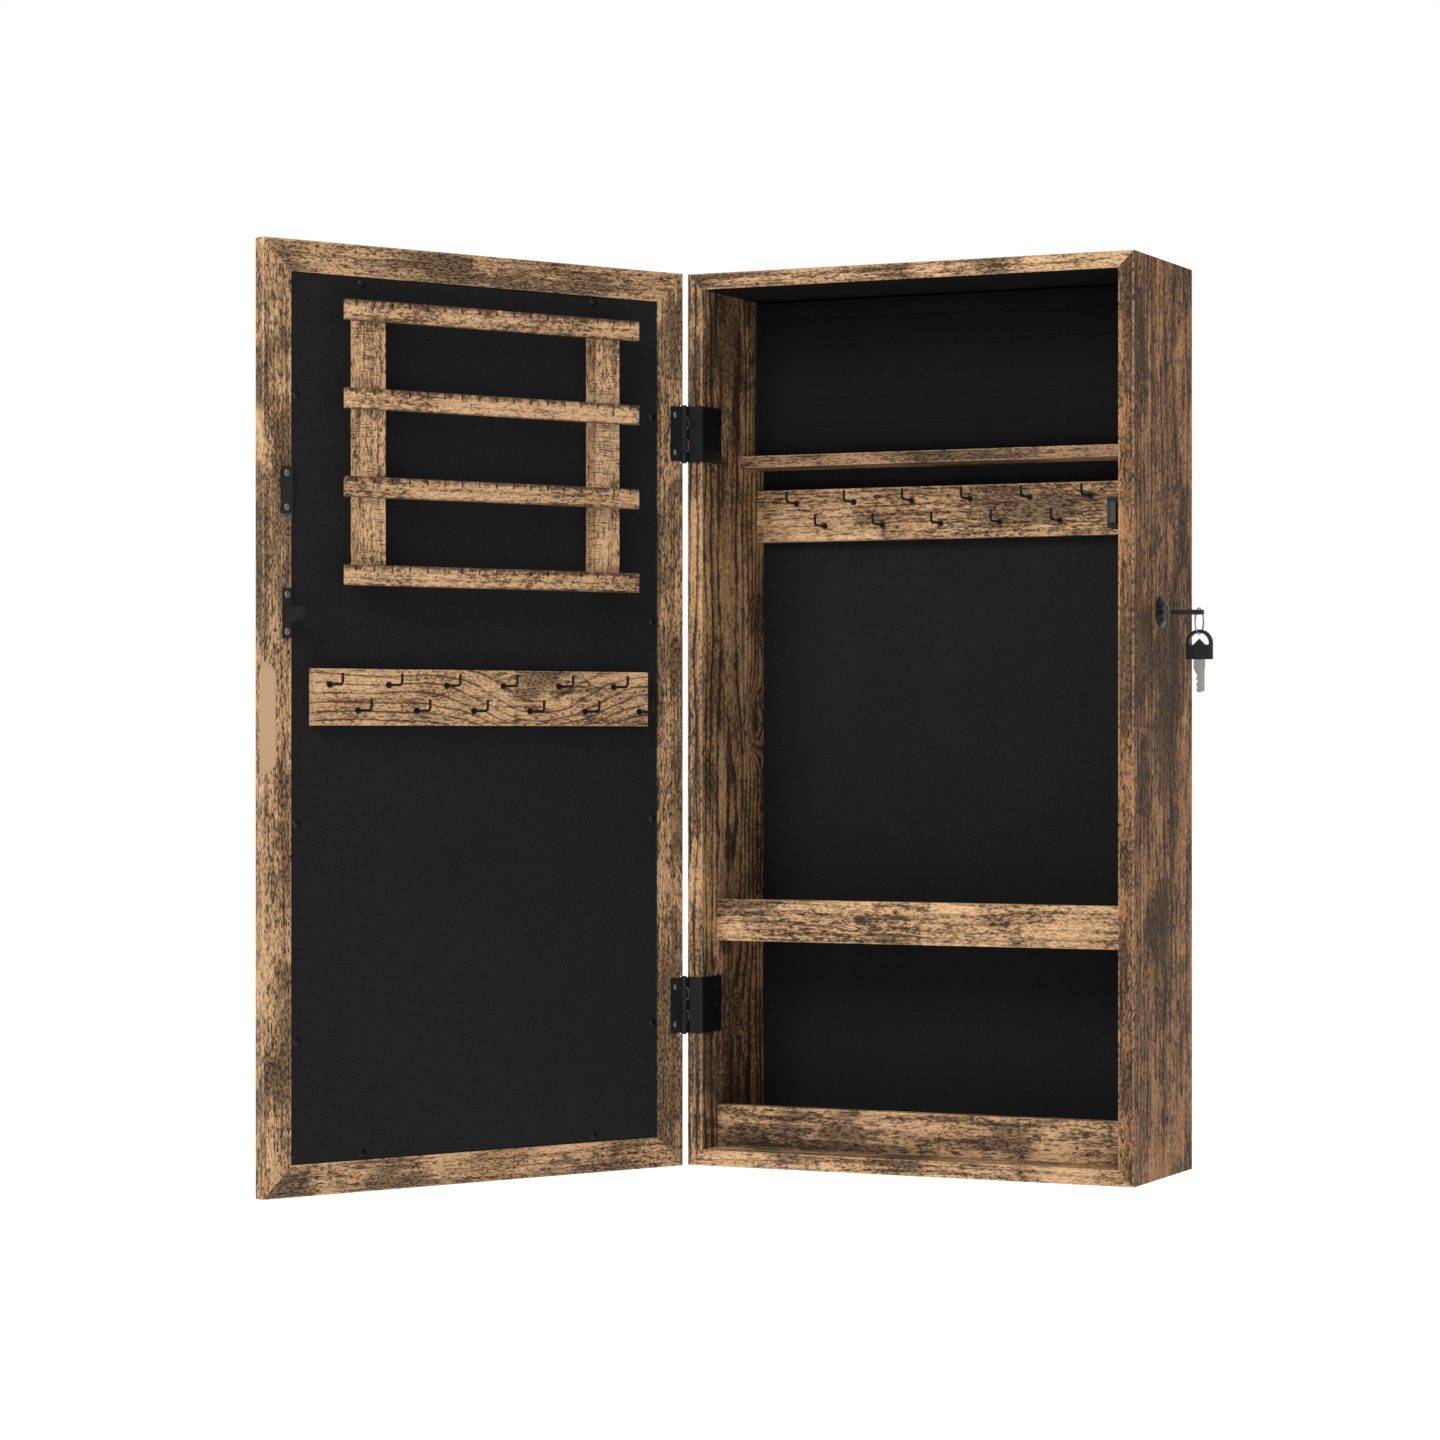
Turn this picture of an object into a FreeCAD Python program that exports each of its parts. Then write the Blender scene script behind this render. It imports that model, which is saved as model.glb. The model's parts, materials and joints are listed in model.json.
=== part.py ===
import FreeCAD, Part
import math
import os
import re
from types import SimpleNamespace

import Sketcher

# A wall-hung jewellery cabinet with a hinged mirror door, drawn in millimetres.
#
# Three working frames are used, and every piece is drawn in one of them:
#   CASE  origin at the case's front lower left corner, X right, Y to the wall, Z up
#   DOOR  X along the door from its hinge edge, Y off its inner face, Z up
#   LOCK  origin where the lock's axis leaves the right side, X outwards, Z up
# The part's own frame has its origin midway between the two wall hangers, on the rear
# plane, so that the piece's Placement is one of those three frames.

SIZES = {
    # case
    "width": 355, "depth": 130, "height": 670, "board": 12,
    "lining_face": 109, "lining": 1, "back_board": 3,
    # hanging on the wall
    "hanger_level": 630, "hanger_spacing": 240, "hanging_rail_tall": 60,
    "hanger_wide": 24, "hanger_low": 611, "hanger_high": 654, "hanger_thick": 1.5,
    "hanger_hole": 4.5, "hanger_slot": 2.2, "hanger_lift": 8, "pocket_deep": 12,
    # fittings inside the case
    "shelf_top": 537.2, "shelf_thick": 9, "shelf_front": 67,
    "pad_face": 85, "pad_room": 0.5,
    "hook_rail_low": 472.5, "hook_rail_tall": 40, "hook_rail_face": 98,
    "tray_low": 168, "tray_front": 25.4, "toe_front": 27,
    "rail_tall": 31.5, "rail_thick": 10,
    "dowel": 2.5, "dowel_half": 8, "dowel_room": 0.1,
    # coat-hook shaped jewellery hooks
    "hook_wire": 1, "hook_bury": 7, "hook_reach": 19, "hook_bend": 3, "hook_tip": 8,
    "hook_collar": 2.3, "hook_collar_thick": 1.2,
    # door: a mitred frame whose inner side steps down to hold the panel and the mirror
    "gap": 2.2, "open_angle": 118.9, "door_thick": 11, "member": 22.5,
    "ledge_edge": 31.5, "ledge_depth": 4, "lip_edge": 37.5, "lip_thick": 3,
    "mirror_thick": 3, "backing_thick": 1, "panel_thick": 3, "inset": 0.4,
    "scoop_level": 334.8, "scoop_half": 40, "scoop_run": 10, "scoop_sink": 4.5,
    # hinges
    "pin_x": -1.7, "pin_y": -3.1, "knuckle": 3.1, "pin": 1.4, "pin_room": 0.05,
    "leaf": 1, "leaf_half": 21, "leaf_start": 1.8, "leaf_back": 31.5, "leaf_door": 11,
    "row_pitch": 8.4, "row_gap": 0.3, "hinge_low": 120.5, "hinge_high": 549.5,
    # earring rack on the door
    "bar_left": 52.3, "bar_long": 246.5, "bar_tall": 14.5, "bar_face": 19, "bar_thick": 5,
    "bar_low": 428.4, "bar_pitch": 62, "post_wide": 20, "post_inset": 14,
    "notch_first": 7.6, "notch_pitch": 14.46, "notch_count": 17, "notch_half": 0.9,
    "notch_deep": 4.5, "stud_hole": 0.8, "stud_deep": 3, "stud_count": 8,
    # hook board on the door
    "door_hooks_low": 330, "door_hooks_left": 37, "door_hooks_long": 281, "door_hooks_face": 8,
    # magnetic catch and its strike plate
    "catch_wide": 9.5, "catch_front": 3, "catch_back": 26, "catch_low": 472, "catch_tall": 22,
    "pole_front": -0.7, "pole_back": 18, "pole_thick": 1.2, "magnet_half": 1.85,
    "magnet_middle": 338.2, "magnet_low": 475.5, "magnet_tall": 15,
    "strike_left": 332, "strike_wide": 9, "strike_low": 478, "strike_tall": 33,
    "strike_thick": 1.2,
    # lock, cam and keeper
    "lock_depth": 58.6, "lock_level": 412.5, "barrel": 9, "barrel_inner": 17,
    "flange": 11.15, "flange_top": 7.4, "dome": 3.6, "plug": 5.95, "plug_room": 0.05,
    "spigot": 3.5, "cam_thick": 2, "nut_flats": 23, "nut_thick": 4, "bore_room": 0.1,
    "slot_half": 3.8, "slot_thick_half": 1.1, "slot_deep": 17.5,
    "keeper_left": 332.8, "keeper_wide": 7, "keeper_low": 391, "keeper_tall": 35,
    "keeper_reach": 20, "tab_low": 402, "tab_high": 413, "lip_low": 404.5, "keeper_thick": 1,
    # keys and ring
    "key_start": 3.7, "collar_long": 7.2, "collar_half": 4, "head_middle": 22.6,
    "head": 10, "head_hole": 7.6, "head_thick": 3.2, "bump": 3.2, "blade_long": 17,
    "blade_half": 3.6, "blade_thick": 2,
    "ring": 9.4, "ring_wire": 0.6, "ring_out": 4.4, "ring_side": 7.49, "ring_drop": 6.3,
    "spare_drop": 6.68,
}
S = SimpleNamespace(**SIZES)
V = FreeCAD.Vector
UP = V(0, 0, 1)
BACK_WARDS = {"XY_Plane": False, "YZ_Plane": False, "XZ_Plane": True}

doc = FreeCAD.newDocument("jewellery_cabinet")
sheet = doc.addObject("Spreadsheet::Sheet", "Sizes")
for row, (alias, value) in enumerate(SIZES.items(), start=1):
    sheet.set(f"A{row}", alias)
    sheet.set(f"B{row}", str(value))
    sheet.setAlias(f"B{row}", alias)
doc.recompute()


# ---------------------------------------------------------------- frames
def at(base, direction=UP, turn=0.0):
    """A placement at base whose own Z points along direction, after a turn about Z."""
    facing = FreeCAD.Rotation(UP, direction)
    return FreeCAD.Placement(base, facing.multiply(FreeCAD.Rotation(UP, turn)))


HINGE_AXIS = V(S.pin_x, S.pin_y, 0)
CASE = at(V(-S.width / 2, -S.depth, -S.hanger_level))
DOOR = CASE * at(HINGE_AXIS) * at(V(), turn=-S.open_angle) * at(V(0, -S.gap, 0) - HINGE_AXIS)
LOCK = CASE * at(V(S.width, S.lock_depth, S.lock_level))


# ---------------------------------------------------------------- drawing helpers
def linked(text):
    """The same formula with every size named in it pointing at its cell of the sheet."""
    return re.sub(r"[a-z_]+", lambda m: "Sizes." + m[0] if m[0] in SIZES else m[0], str(text))


def new_sketch(body, name, role, start="0"):
    """An empty sketch on one of the body's own planes, moved start along X, Y or Z."""
    plane = next(p for p in body.Origin.OriginFeatures if p.Role == role)
    sketch = body.newObject("Sketcher::SketchObject", name)
    sketch.AttachmentSupport = [(plane, "")]
    sketch.MapMode = "FlatFace"
    sign = "-" if BACK_WARDS[role] else ""
    sketch.setExpression("AttachmentOffset.Base.z", linked(f"{sign}({start})"))
    return sketch


def fix_point(sketch, curve, end, place):
    """Tie one point of a sketch to the formulas in place."""
    for kind, formula in zip(("DistanceX", "DistanceY"), place):
        index = sketch.addConstraint(Sketcher.Constraint(kind, -1, 1, curve, end, 1.0))
        sketch.setExpression(f"Constraints[{index}]", linked(formula))


def add_loop(sketch, corners):
    """A closed polygon through corners, each a pair of formulas."""
    first = sketch.GeometryCount
    count = len(corners)
    ring = [V(math.cos(2 * math.pi * n / count), math.sin(2 * math.pi * n / count)) * 50
            for n in range(count + 1)]
    for start, end in zip(ring, ring[1:]):
        sketch.addGeometry(Part.LineSegment(start, end), False)
    for n in range(count):
        following = first + (n + 1) % count
        sketch.addConstraint(Sketcher.Constraint("Coincident", first + n, 2, following, 1))
    for n, corner in enumerate(corners):
        fix_point(sketch, first + n, 1, corner)


def add_disc(sketch, centre, radius):
    """A circle with its centre and radius as formulas."""
    circle = sketch.addGeometry(Part.Circle(V(), UP, 5), False)
    fix_point(sketch, circle, 3, centre)
    index = sketch.addConstraint(Sketcher.Constraint("Radius", circle, 5.0))
    sketch.setExpression(f"Constraints[{index}]", linked(radius))


def pad(body, sketch, role, length):
    """Raise a sketch by length towards +X, +Y or +Z."""
    feature = body.newObject("PartDesign::Pad", sketch.Name + "_pad")
    feature.Profile = sketch
    feature.Reversed = BACK_WARDS[role]
    feature.setExpression("Length", linked(length))
    return feature


def cut_through(body, sketch):
    """Cut a sketch through everything, both ways."""
    feature = body.newObject("PartDesign::Pocket", sketch.Name + "_cut")
    feature.Profile = sketch
    feature.SideType = "Symmetric"
    feature.Type = "ThroughAll"
    return feature


def prism(name, role, corners, start, length):
    """A body with one polygon, raised from start by length."""
    body = doc.addObject("PartDesign::Body", name)
    sketch = new_sketch(body, name + "_outline", role, start)
    add_loop(sketch, corners)
    pad(body, sketch, role, length)
    return body


def block(name, wide, deep, tall):
    """A square-edged board from three (low, high) pairs of formulas."""
    corners = [(wide[0], deep[0]), (wide[1], deep[0]), (wide[1], deep[1]), (wide[0], deep[1])]
    return prism(name, "XY_Plane", corners, tall[0], f"({tall[1]}) - ({tall[0]})")


def rod(name, radius, length, place):
    """A Part cylinder from place along its own Z."""
    piece = doc.addObject("Part::Cylinder", name)
    piece.setExpression("Radius", linked(radius))
    piece.setExpression("Height", linked(length))
    piece.Placement = place
    return piece


def joined(name, pieces):
    """One solid out of overlapping pieces."""
    piece = doc.addObject("Part::MultiFuse", name)
    piece.Shapes = pieces
    return piece


def bored(name, blank, *tools):
    """The blank with every tool taken out of it."""
    piece = doc.addObject("Part::Cut", name)
    piece.Base = blank
    piece.Tool = tools[0]
    if len(tools) > 1:
        piece.Tool = doc.addObject("Part::Compound", name + "_tools")
        piece.Tool.Links = list(tools)
    return piece


def shapes_together(name, shapes):
    """Loose solids kept as one object, for fasteners that come in sets."""
    piece = doc.addObject("Part::Feature", name)
    piece.Shape = Part.makeCompound(shapes)
    return piece


def copies(name, template, places):
    """The template's shape repeated at each place."""
    doc.recompute()
    template.Visibility = False
    return shapes_together(name, [template.Shape.transformed(p.toMatrix()) for p in places])


NODES = {}


def keep(name, piece, frame):
    """Name a finished piece and seat it in the part's frame."""
    piece.Label = name
    piece.Placement = frame
    NODES[name] = piece


# ---------------------------------------------------------------- fasteners
# head radius, head rise, depth of the cone under the head, shank radius, shank length
SCREWS = {
    "panel": (2.9, 1.3, 0.0, 1.3, 8.0),
    "rack": (2.6, 0.25, 1.3, 1.2, 15.0),
    "leaf": (2.3, 0.25, 1.2, 1.1, 8.5),
    "catch": (2.2, 0.8, 0.0, 1.1, 17.0),
    "hanger": (3.2, 0.25, 1.8, 1.6, 12.0),
    "cam": (4.4, 1.4, 0.0, 1.8, 6.0),
}
SCREW_ROOM = 0.05
FLUSH = 0.3


def screw_shape(head, rise, cone, shank, length):
    """A screw on the Z axis with its head's rim at Z = 0 and a cross in its domed top."""
    dome = (head ** 2 + rise ** 2) / (2 * rise)
    lean = math.asin(head / dome) / 2
    middle = V(dome * math.sin(lean), 0, rise - dome + dome * math.cos(lean))
    side = [V(0, 0, -length), V(shank, 0, 2 * shank - length), V(shank, 0, -cone), V(head, 0, 0)]
    edges = [Part.LineSegment(a, b).toShape() for a, b in zip(side, side[1:])]
    edges.append(Part.Arc(V(head, 0, 0), middle, V(0, 0, rise)).toShape())
    edges.append(Part.LineSegment(V(0, 0, rise), V(0, 0, -length)).toShape())
    solid = Part.Face(Part.Wire(edges)).revolve(V(), UP, 360)
    solid = solid.Solids[0] if solid.Solids else Part.Solid(solid)
    reach, web = 0.6 * head, 0.16 * head
    for long, short in ((reach, web), (web, reach)):
        corner = V(-long, -short, rise - 0.35 * head)
        solid = solid.cut(Part.makeBox(2 * long, 2 * short, head, corner))
    return solid


def bore_shape(head, rise, cone, shank, length):
    """The room a screw needs: its shank, its cone and a way in for its head."""
    room = SCREW_ROOM
    solid = Part.makeCylinder(shank + room, length + room, V(0, 0, -length - room))
    solid = solid.fuse(Part.makeCylinder(head + room, rise + 1))
    if cone:
        solid = solid.fuse(Part.makeCone(shank + room, head + room, cone, V(0, 0, -cone)))
    return solid


def screws(name, kind, seats, frame):
    """A set of screws, kept as one node, and the bores for them."""
    screw, bore = screw_shape(*SCREWS[kind]), bore_shape(*SCREWS[kind])
    keep(name, shapes_together(name, [screw.transformed(p.toMatrix()) for p in seats]), frame)
    return shapes_together(name + "_bores", [bore.transformed(p.toMatrix()) for p in seats])


# ---------------------------------------------------------------- case
IN_WIDE = ("board", "width - board")
LEFT, RIGHT = V(-1, 0, 0), V(1, 0, 0)
FRONT, REAR = V(0, -1, 0), V(0, 1, 0)

hinge_levels = (S.hinge_low, S.hinge_high)
leaf_holes = [(25.5, -13), (20, 0), (25.5, 13)]
body_leaf_seats = [at(V(S.board + S.leaf - FLUSH, y, z), RIGHT) for y, z in leaf_holes]
body_leaf_bores = screws(
    "hinge_body_screws", "leaf",
    [at(V(0, 0, level)) * seat for level in hinge_levels for seat in body_leaf_seats], CASE)

catch_wall = S.width - S.board
catch_bores = screws(
    "catch_screws", "catch",
    [at(V(catch_wall - S.catch_wide, 21.8, S.catch_low + z), LEFT) for z in (5, 17)], CASE)

dowel_rows = [
    (77, 532.7), (99, 532.7),                       # upper shelf
    (103.5, 482), (103.5, 503),                     # hook rail
    (30.4, 182), (30.4, 193), (60, 172.5), (95, 172.5),  # tray
    (32, 20), (32, 35),                             # toe rail
    (121.5, 20), (121.5, 35), (121.5, 608), (121.5, 650),  # rails behind the back
]
dowel_ends = [(x, y, z) for x in (S.board, S.width - S.board) for y, z in dowel_rows]


def dowel_set(name, room):
    """Dowels across the inner faces of both sides, with room all round for the holes."""
    half = S.dowel_half + room
    return shapes_together(name, [
        Part.makeCylinder(S.dowel + room, 2 * half, V(x - half, y, z), RIGHT)
        for x, y, z in dowel_ends])


keep("shelf_dowels", dowel_set("shelf_dowels", 0), CASE)
dowel_bores = dowel_set("dowel_bores", S.dowel_room)

side = [("0", "0"), ("board", "board"), ("board", "height - board"), ("0", "height")]
flat = [("0", "0"), ("board", "board"), ("width - board", "board"), ("width", "0")]
left_blank = prism("left_blank", "XZ_Plane", side, "0", "depth")
right_blank = prism("right_blank", "XZ_Plane", [(f"width - {x}", z) for x, z in side], "0", "depth")
lock_bore = rod("lock_bore", "barrel + bore_room", "3 * board",
                at(V(S.width - 2 * S.board, S.lock_depth, S.lock_level), RIGHT))
keep("side_board_left", bored("side_left", left_blank, dowel_bores, body_leaf_bores), CASE)
keep("side_board_right", bored("side_right", right_blank, dowel_bores, lock_bore, catch_bores),
     CASE)
keep("bottom_board", prism("bottom", "XZ_Plane", flat, "0", "depth"), CASE)
keep("top_board", prism("top", "XZ_Plane", [(x, f"height - {z}") for x, z in flat], "0", "depth"),
     CASE)

in_tall = ("board", "height - board")
board_face = "lining_face + lining"
keep("back_lining", block("back_lining", IN_WIDE, ("lining_face", board_face), in_tall), CASE)
keep("back_panel",
     block("back_board_sheet", IN_WIDE, (board_face, board_face + " + back_board"), in_tall), CASE)

behind = (board_face + " + back_board", "depth")
hanging_blank = block("hanging_blank", IN_WIDE, behind,
                      ("height - board - hanging_rail_tall", "height - board"))
lower_blank = block("lower_blank", IN_WIDE, behind, ("board", "board + rail_tall"))
keep("lower_back_rail", bored("lower_rail", lower_blank, dowel_bores), CASE)


# ---------------------------------------------------------------- wall hangers
def keyhole(name, hole, slot, start, length):
    """A round hole with a narrower slot rising from it, as a solid raised by length."""
    body = doc.addObject("PartDesign::Body", name)
    for part, centre, radius in (("round", "0", hole), ("top", "hanger_lift", slot)):
        sketch = new_sketch(body, f"{name}_{part}", "XZ_Plane", start)
        add_disc(sketch, ("0", centre), radius)
        pad(body, sketch, "XZ_Plane", length)
        if part == "round":
            sketch = new_sketch(body, f"{name}_slot", "XZ_Plane", start)
            add_loop(sketch, [(f"-({slot})", "0"), (slot, "0"), (slot, "hanger_lift"),
                              (f"-({slot})", "hanger_lift")])
            pad(body, sketch, "XZ_Plane", length)
    return body


hanger_face = "depth - hanger_thick"
hanger_places = [at(V(S.width / 2 + way * S.hanger_spacing / 2, 0, S.hanger_level))
                 for way in (-1, 1)]
plate_tall = ("hanger_low - hanger_level", "hanger_high - hanger_level")
plate_wide = ("-hanger_wide / 2", "hanger_wide / 2")
plate_blank = block("hanger_blank", plate_wide, (hanger_face, "depth"), plate_tall)
plate_hole = keyhole("hanger_keyhole", "hanger_hole", "hanger_slot", "depth - 5", "10")
hanger_seats = [place * at(V(0, S.depth - FLUSH, z), REAR)
                for place in hanger_places for z in (-13.5, 19.5)]
hanger_bores = screws("hanger_screws", "hanger", hanger_seats, CASE)
plates = copies("hanger_plate_pair", bored("hanger_plate", plate_blank, plate_hole), hanger_places)
keep("hanger_plates", bored("hanger_plates_bored", plates, hanger_bores), CASE)

recess = block("hanger_recess", plate_wide, (hanger_face, "depth + 1"), plate_tall)
head_room = block("hanger_head_room", ("-1.5 * hanger_hole", "1.5 * hanger_hole"),
                  ("depth - pocket_deep", "depth + 1"),
                  ("-1.5 * hanger_hole", "1.5 * hanger_hole + hanger_lift"))
recesses = copies("hanger_recesses", joined("hanger_room", [recess, head_room]), hanger_places)
keep("hanging_rail", bored("hanging_rail_bored", hanging_blank, dowel_bores, recesses, hanger_bores),
     CASE)

# ---------------------------------------------------------------- fittings inside the case
to_lining = "lining_face"
shelf_low = "shelf_top - shelf_thick"
shelf_blank = block("shelf_blank", IN_WIDE, ("shelf_front", to_lining), (shelf_low, "shelf_top"))
keep("upper_shelf", bored("upper_shelf_bored", shelf_blank, dowel_bores), CASE)

keep("stud_pad",
     block("stud_pad_block", ("board + pad_room", "width - board - pad_room"),
           ("pad_face", "lining_face - 0.2"), ("shelf_top + 0.3", "height - board - pad_room")), CASE)

tray_blank = block("tray_blank", IN_WIDE, ("tray_front + rail_thick", to_lining),
                   ("tray_low", "tray_low + shelf_thick"))
tray_rail_blank = block("tray_rail_blank", IN_WIDE, ("tray_front", "tray_front + rail_thick"),
                        ("tray_low", "tray_low + rail_tall"))
toe_blank = block("toe_blank", IN_WIDE, ("toe_front", "toe_front + rail_thick"),
                  ("board", "board + rail_tall"))
keep("tray_board", bored("tray_board_bored", tray_blank, dowel_bores), CASE)
keep("tray_rail", bored("tray_rail_bored", tray_rail_blank, dowel_bores), CASE)
keep("bottom_rail", bored("bottom_rail_bored", toe_blank, dowel_bores), CASE)


# ---------------------------------------------------------------- jewellery hooks
def hook_template():
    """A wire hook screwed into a board's face at Y = 0: straight out, then bent upwards."""
    body = doc.addObject("PartDesign::Body", "hook_template")
    path = new_sketch(body, "hook_path", "YZ_Plane")
    turn = S.hook_reach - S.hook_bend
    path.addGeometry(Part.LineSegment(V(-S.hook_bury, 0), V(turn, 0)), False)
    path.addGeometry(Part.ArcOfCircle(Part.Circle(V(turn, S.hook_bend), UP, S.hook_bend),
                                      -math.pi / 2, 0), False)
    path.addGeometry(Part.LineSegment(V(S.hook_reach, S.hook_bend), V(S.hook_reach, S.hook_tip)),
                     False)
    for rule in (("Tangent", 0, 2, 1, 1), ("Tangent", 1, 2, 2, 1), ("Horizontal", 0),
                 ("Vertical", 2)):
        path.addConstraint(Sketcher.Constraint(*rule))
    bend = path.addConstraint(Sketcher.Constraint("Radius", 1, S.hook_bend))
    path.setExpression(f"Constraints[{bend}]", linked("hook_bend"))
    fix_point(path, 0, 1, ("-hook_bury", "0"))
    fix_point(path, 2, 2, ("hook_reach", "hook_tip"))
    section = new_sketch(body, "hook_section", "XZ_Plane", "-hook_bury")
    add_disc(section, ("0", "0"), "hook_wire")
    doc.recompute()
    wire = body.newObject("PartDesign::AdditivePipe", "hook_wire_pipe")
    wire.Profile = section
    wire.Spine = path
    collar = new_sketch(body, "hook_collar_disc", "XZ_Plane")
    add_disc(collar, ("0", "0"), "hook_collar")
    pad(body, collar, "XZ_Plane", "hook_collar_thick")
    return body


def hook_bores(name, places):
    """Holes for the buried ends of a row of hooks."""
    deep = S.hook_bury + 0.2
    hole = Part.makeCylinder(S.hook_wire + SCREW_ROOM, deep, V(0, -deep, 0), REAR)
    return shapes_together(name, [hole.transformed(p.toMatrix()) for p in places])


hook = hook_template()
HOOK_ROW = range(6)
case_hook_spots = [(45.4 + 48.1 * n, 502) for n in HOOK_ROW] + [(69.3 + 48.1 * n, 484) for n in HOOK_ROW]
case_hook_places = [at(V(x, S.hook_rail_face, z), turn=180) for x, z in case_hook_spots
                    if x < S.width - S.board - 5]
keep("cabinet_hooks", copies("cabinet_hooks_set", hook, case_hook_places), CASE)
hook_rail_blank = block("hook_rail_blank", IN_WIDE, ("hook_rail_face", to_lining),
                        ("hook_rail_low", "hook_rail_low + hook_rail_tall"))
keep("cabinet_hook_board",
     bored("hook_rail_bored", hook_rail_blank, dowel_bores,
           hook_bores("case_hook_bores", case_hook_places)), CASE)

# ---------------------------------------------------------------- magnetic catch
catch_x = ("width - board - catch_wide", "width - board")
magnet_z = ("magnet_low", "magnet_low + magnet_tall")
well_x = ("magnet_middle - magnet_half - pole_thick", "magnet_middle + magnet_half + pole_thick")
catch_blank = block("catch_blank", catch_x, ("catch_front", "catch_back"),
                    ("catch_low", "catch_low + catch_tall"))
well = block("catch_well", well_x, ("catch_front - 1", "pole_back"), magnet_z)
keep("catch_housing", bored("catch_housing_bored", catch_blank, well, catch_bores), CASE)
magnet_x = ("magnet_middle - magnet_half", "magnet_middle + magnet_half")
keep("catch_magnet", block("magnet_block", magnet_x, ("0.2", "pole_back"), magnet_z), CASE)
pole_y = ("pole_front", "pole_back")
poles = [block("pole_left", (well_x[0], magnet_x[0]), pole_y, magnet_z),
         block("pole_right", (magnet_x[1], well_x[1]), pole_y, magnet_z)]
keep("catch_pole_plates", copies("pole_pair", joined("poles", poles), [at(V())]), CASE)

# ---------------------------------------------------------------- hinges
ROWS = range(5)


def knuckle_rows(name, rows, plate_y):
    """Barrel rings on the pin's axis, each with the strip that ties it to its leaf."""
    pieces = []
    for n in rows:
        low = f"-leaf_half + row_pitch * {n} + row_gap / 2"
        high = f"{low} + row_pitch - row_gap"
        pieces.append(block(f"{name}_strip_{n}", ("pin_x", "leaf_start + 1"), plate_y, (low, high)))
        base = V(S.pin_x, S.pin_y, -S.leaf_half + S.row_pitch * n + S.row_gap / 2)
        pieces.append(rod(f"{name}_ring_{n}", "knuckle", "row_pitch - row_gap", at(base)))
    return pieces


def hinge_leaf(name, plate, rows, plate_y):
    """A leaf with its barrel rings, bored for the pin."""
    whole = joined(name + "_blank", [plate] + knuckle_rows(name, rows, plate_y))
    pin_way = rod(name + "_pin_way", "pin + pin_room", "3 * leaf_half",
                  at(HINGE_AXIS - V(0, 0, 1.5 * S.leaf_half)))
    return bored(name, whole, pin_way)


hinge_places = [at(V(0, 0, level)) for level in hinge_levels]
body_plate = prism("body_leaf_plate", "XY_Plane", [
    ("leaf_start", "-leaf"), ("board + leaf", "-leaf"), ("board + leaf", "leaf_back"),
    ("board", "leaf_back"), ("board", "0"), ("leaf_start", "0")], "-leaf_half", "2 * leaf_half")
body_leaf = hinge_leaf("body_leaf", body_plate, ROWS[::2], ("-leaf", "0"))
body_leaves = copies("body_leaf_pair", body_leaf, hinge_places)
keep("hinge_body_leaves", bored("hinge_body_leaves_bored", body_leaves, body_leaf_bores), CASE)

door_leaf_y = ("-gap", "leaf - gap")
door_plate = block("door_leaf_plate", ("leaf_start", "leaf_door"), door_leaf_y,
                   ("0.5 - leaf_half", "leaf_half - 0.5"))
door_leaf = hinge_leaf("door_leaf", door_plate, ROWS[1::2], door_leaf_y)
to_door = at(V(0, S.gap, 0))
door_leaves = copies("door_leaf_pair", door_leaf, [to_door * place for place in hinge_places])
door_leaf_bores = screws(
    "hinge_door_screws", "leaf",
    [at(V(6.6, S.leaf - FLUSH, level + z), REAR) for level in hinge_levels for z in (-14, 14)], DOOR)
keep("hinge_door_leaves", bored("hinge_door_leaves_bored", door_leaves, door_leaf_bores), DOOR)

pin_low = HINGE_AXIS - V(0, 0, S.leaf_half + 0.8)
pin_parts = [rod("pin_shank", "pin", "2 * leaf_half + 1.6", at(pin_low)),
             rod("pin_foot", "pin + 0.7", "0.8", at(pin_low)),
             rod("pin_head", "pin + 0.7", "0.8", at(HINGE_AXIS + V(0, 0, S.leaf_half)))]
keep("hinge_pins", copies("hinge_pin_pair", joined("hinge_pin", pin_parts), hinge_places), CASE)

# ---------------------------------------------------------------- door frame
# distance from the door's edge, and height off its inner face, round a member's section
SECTION = [
    ("0", "-door_thick"), ("lip_edge", "-door_thick"), ("lip_edge", "lip_thick - door_thick"),
    ("ledge_edge", "lip_thick - door_thick"), ("ledge_edge", "-ledge_depth"),
    ("member", "-ledge_depth"), ("member", "0"), ("0", "0")]
REACH = "lip_edge + 1"


def mitred(name, role, corners, length, ends):
    """A length of the door frame's section with a triangle cut off each end."""
    body = prism(name, role, corners, "0", length)
    sketch = new_sketch(body, name + "_mitres", "XZ_Plane")
    for corner in ends:
        add_loop(sketch, corner)
    cut_through(body, sketch)
    return body


def stile(name, far):
    """An upright of the door frame; far turns a distance from its edge into X."""
    ends = [[(far("0"), "0"), (far(REACH), "0"), (far(REACH), REACH)],
            [(far("0"), "height"), (far(REACH), "height"), (far(REACH), f"height - ({REACH})")]]
    return mitred(name, "XY_Plane", [(far(e), y) for e, y in SECTION], "height", ends)


def rail(name, far):
    """A crosspiece of the door frame; far turns a distance from its edge into Z."""
    ends = [[("0", far("0")), ("0", far(REACH)), (REACH, far(REACH))],
            [("width", far("0")), ("width", far(REACH)), (f"width - ({REACH})", far(REACH))]]
    return mitred(name, "YZ_Plane", [(y, far(e)) for e, y in SECTION], "width", ends)


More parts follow.
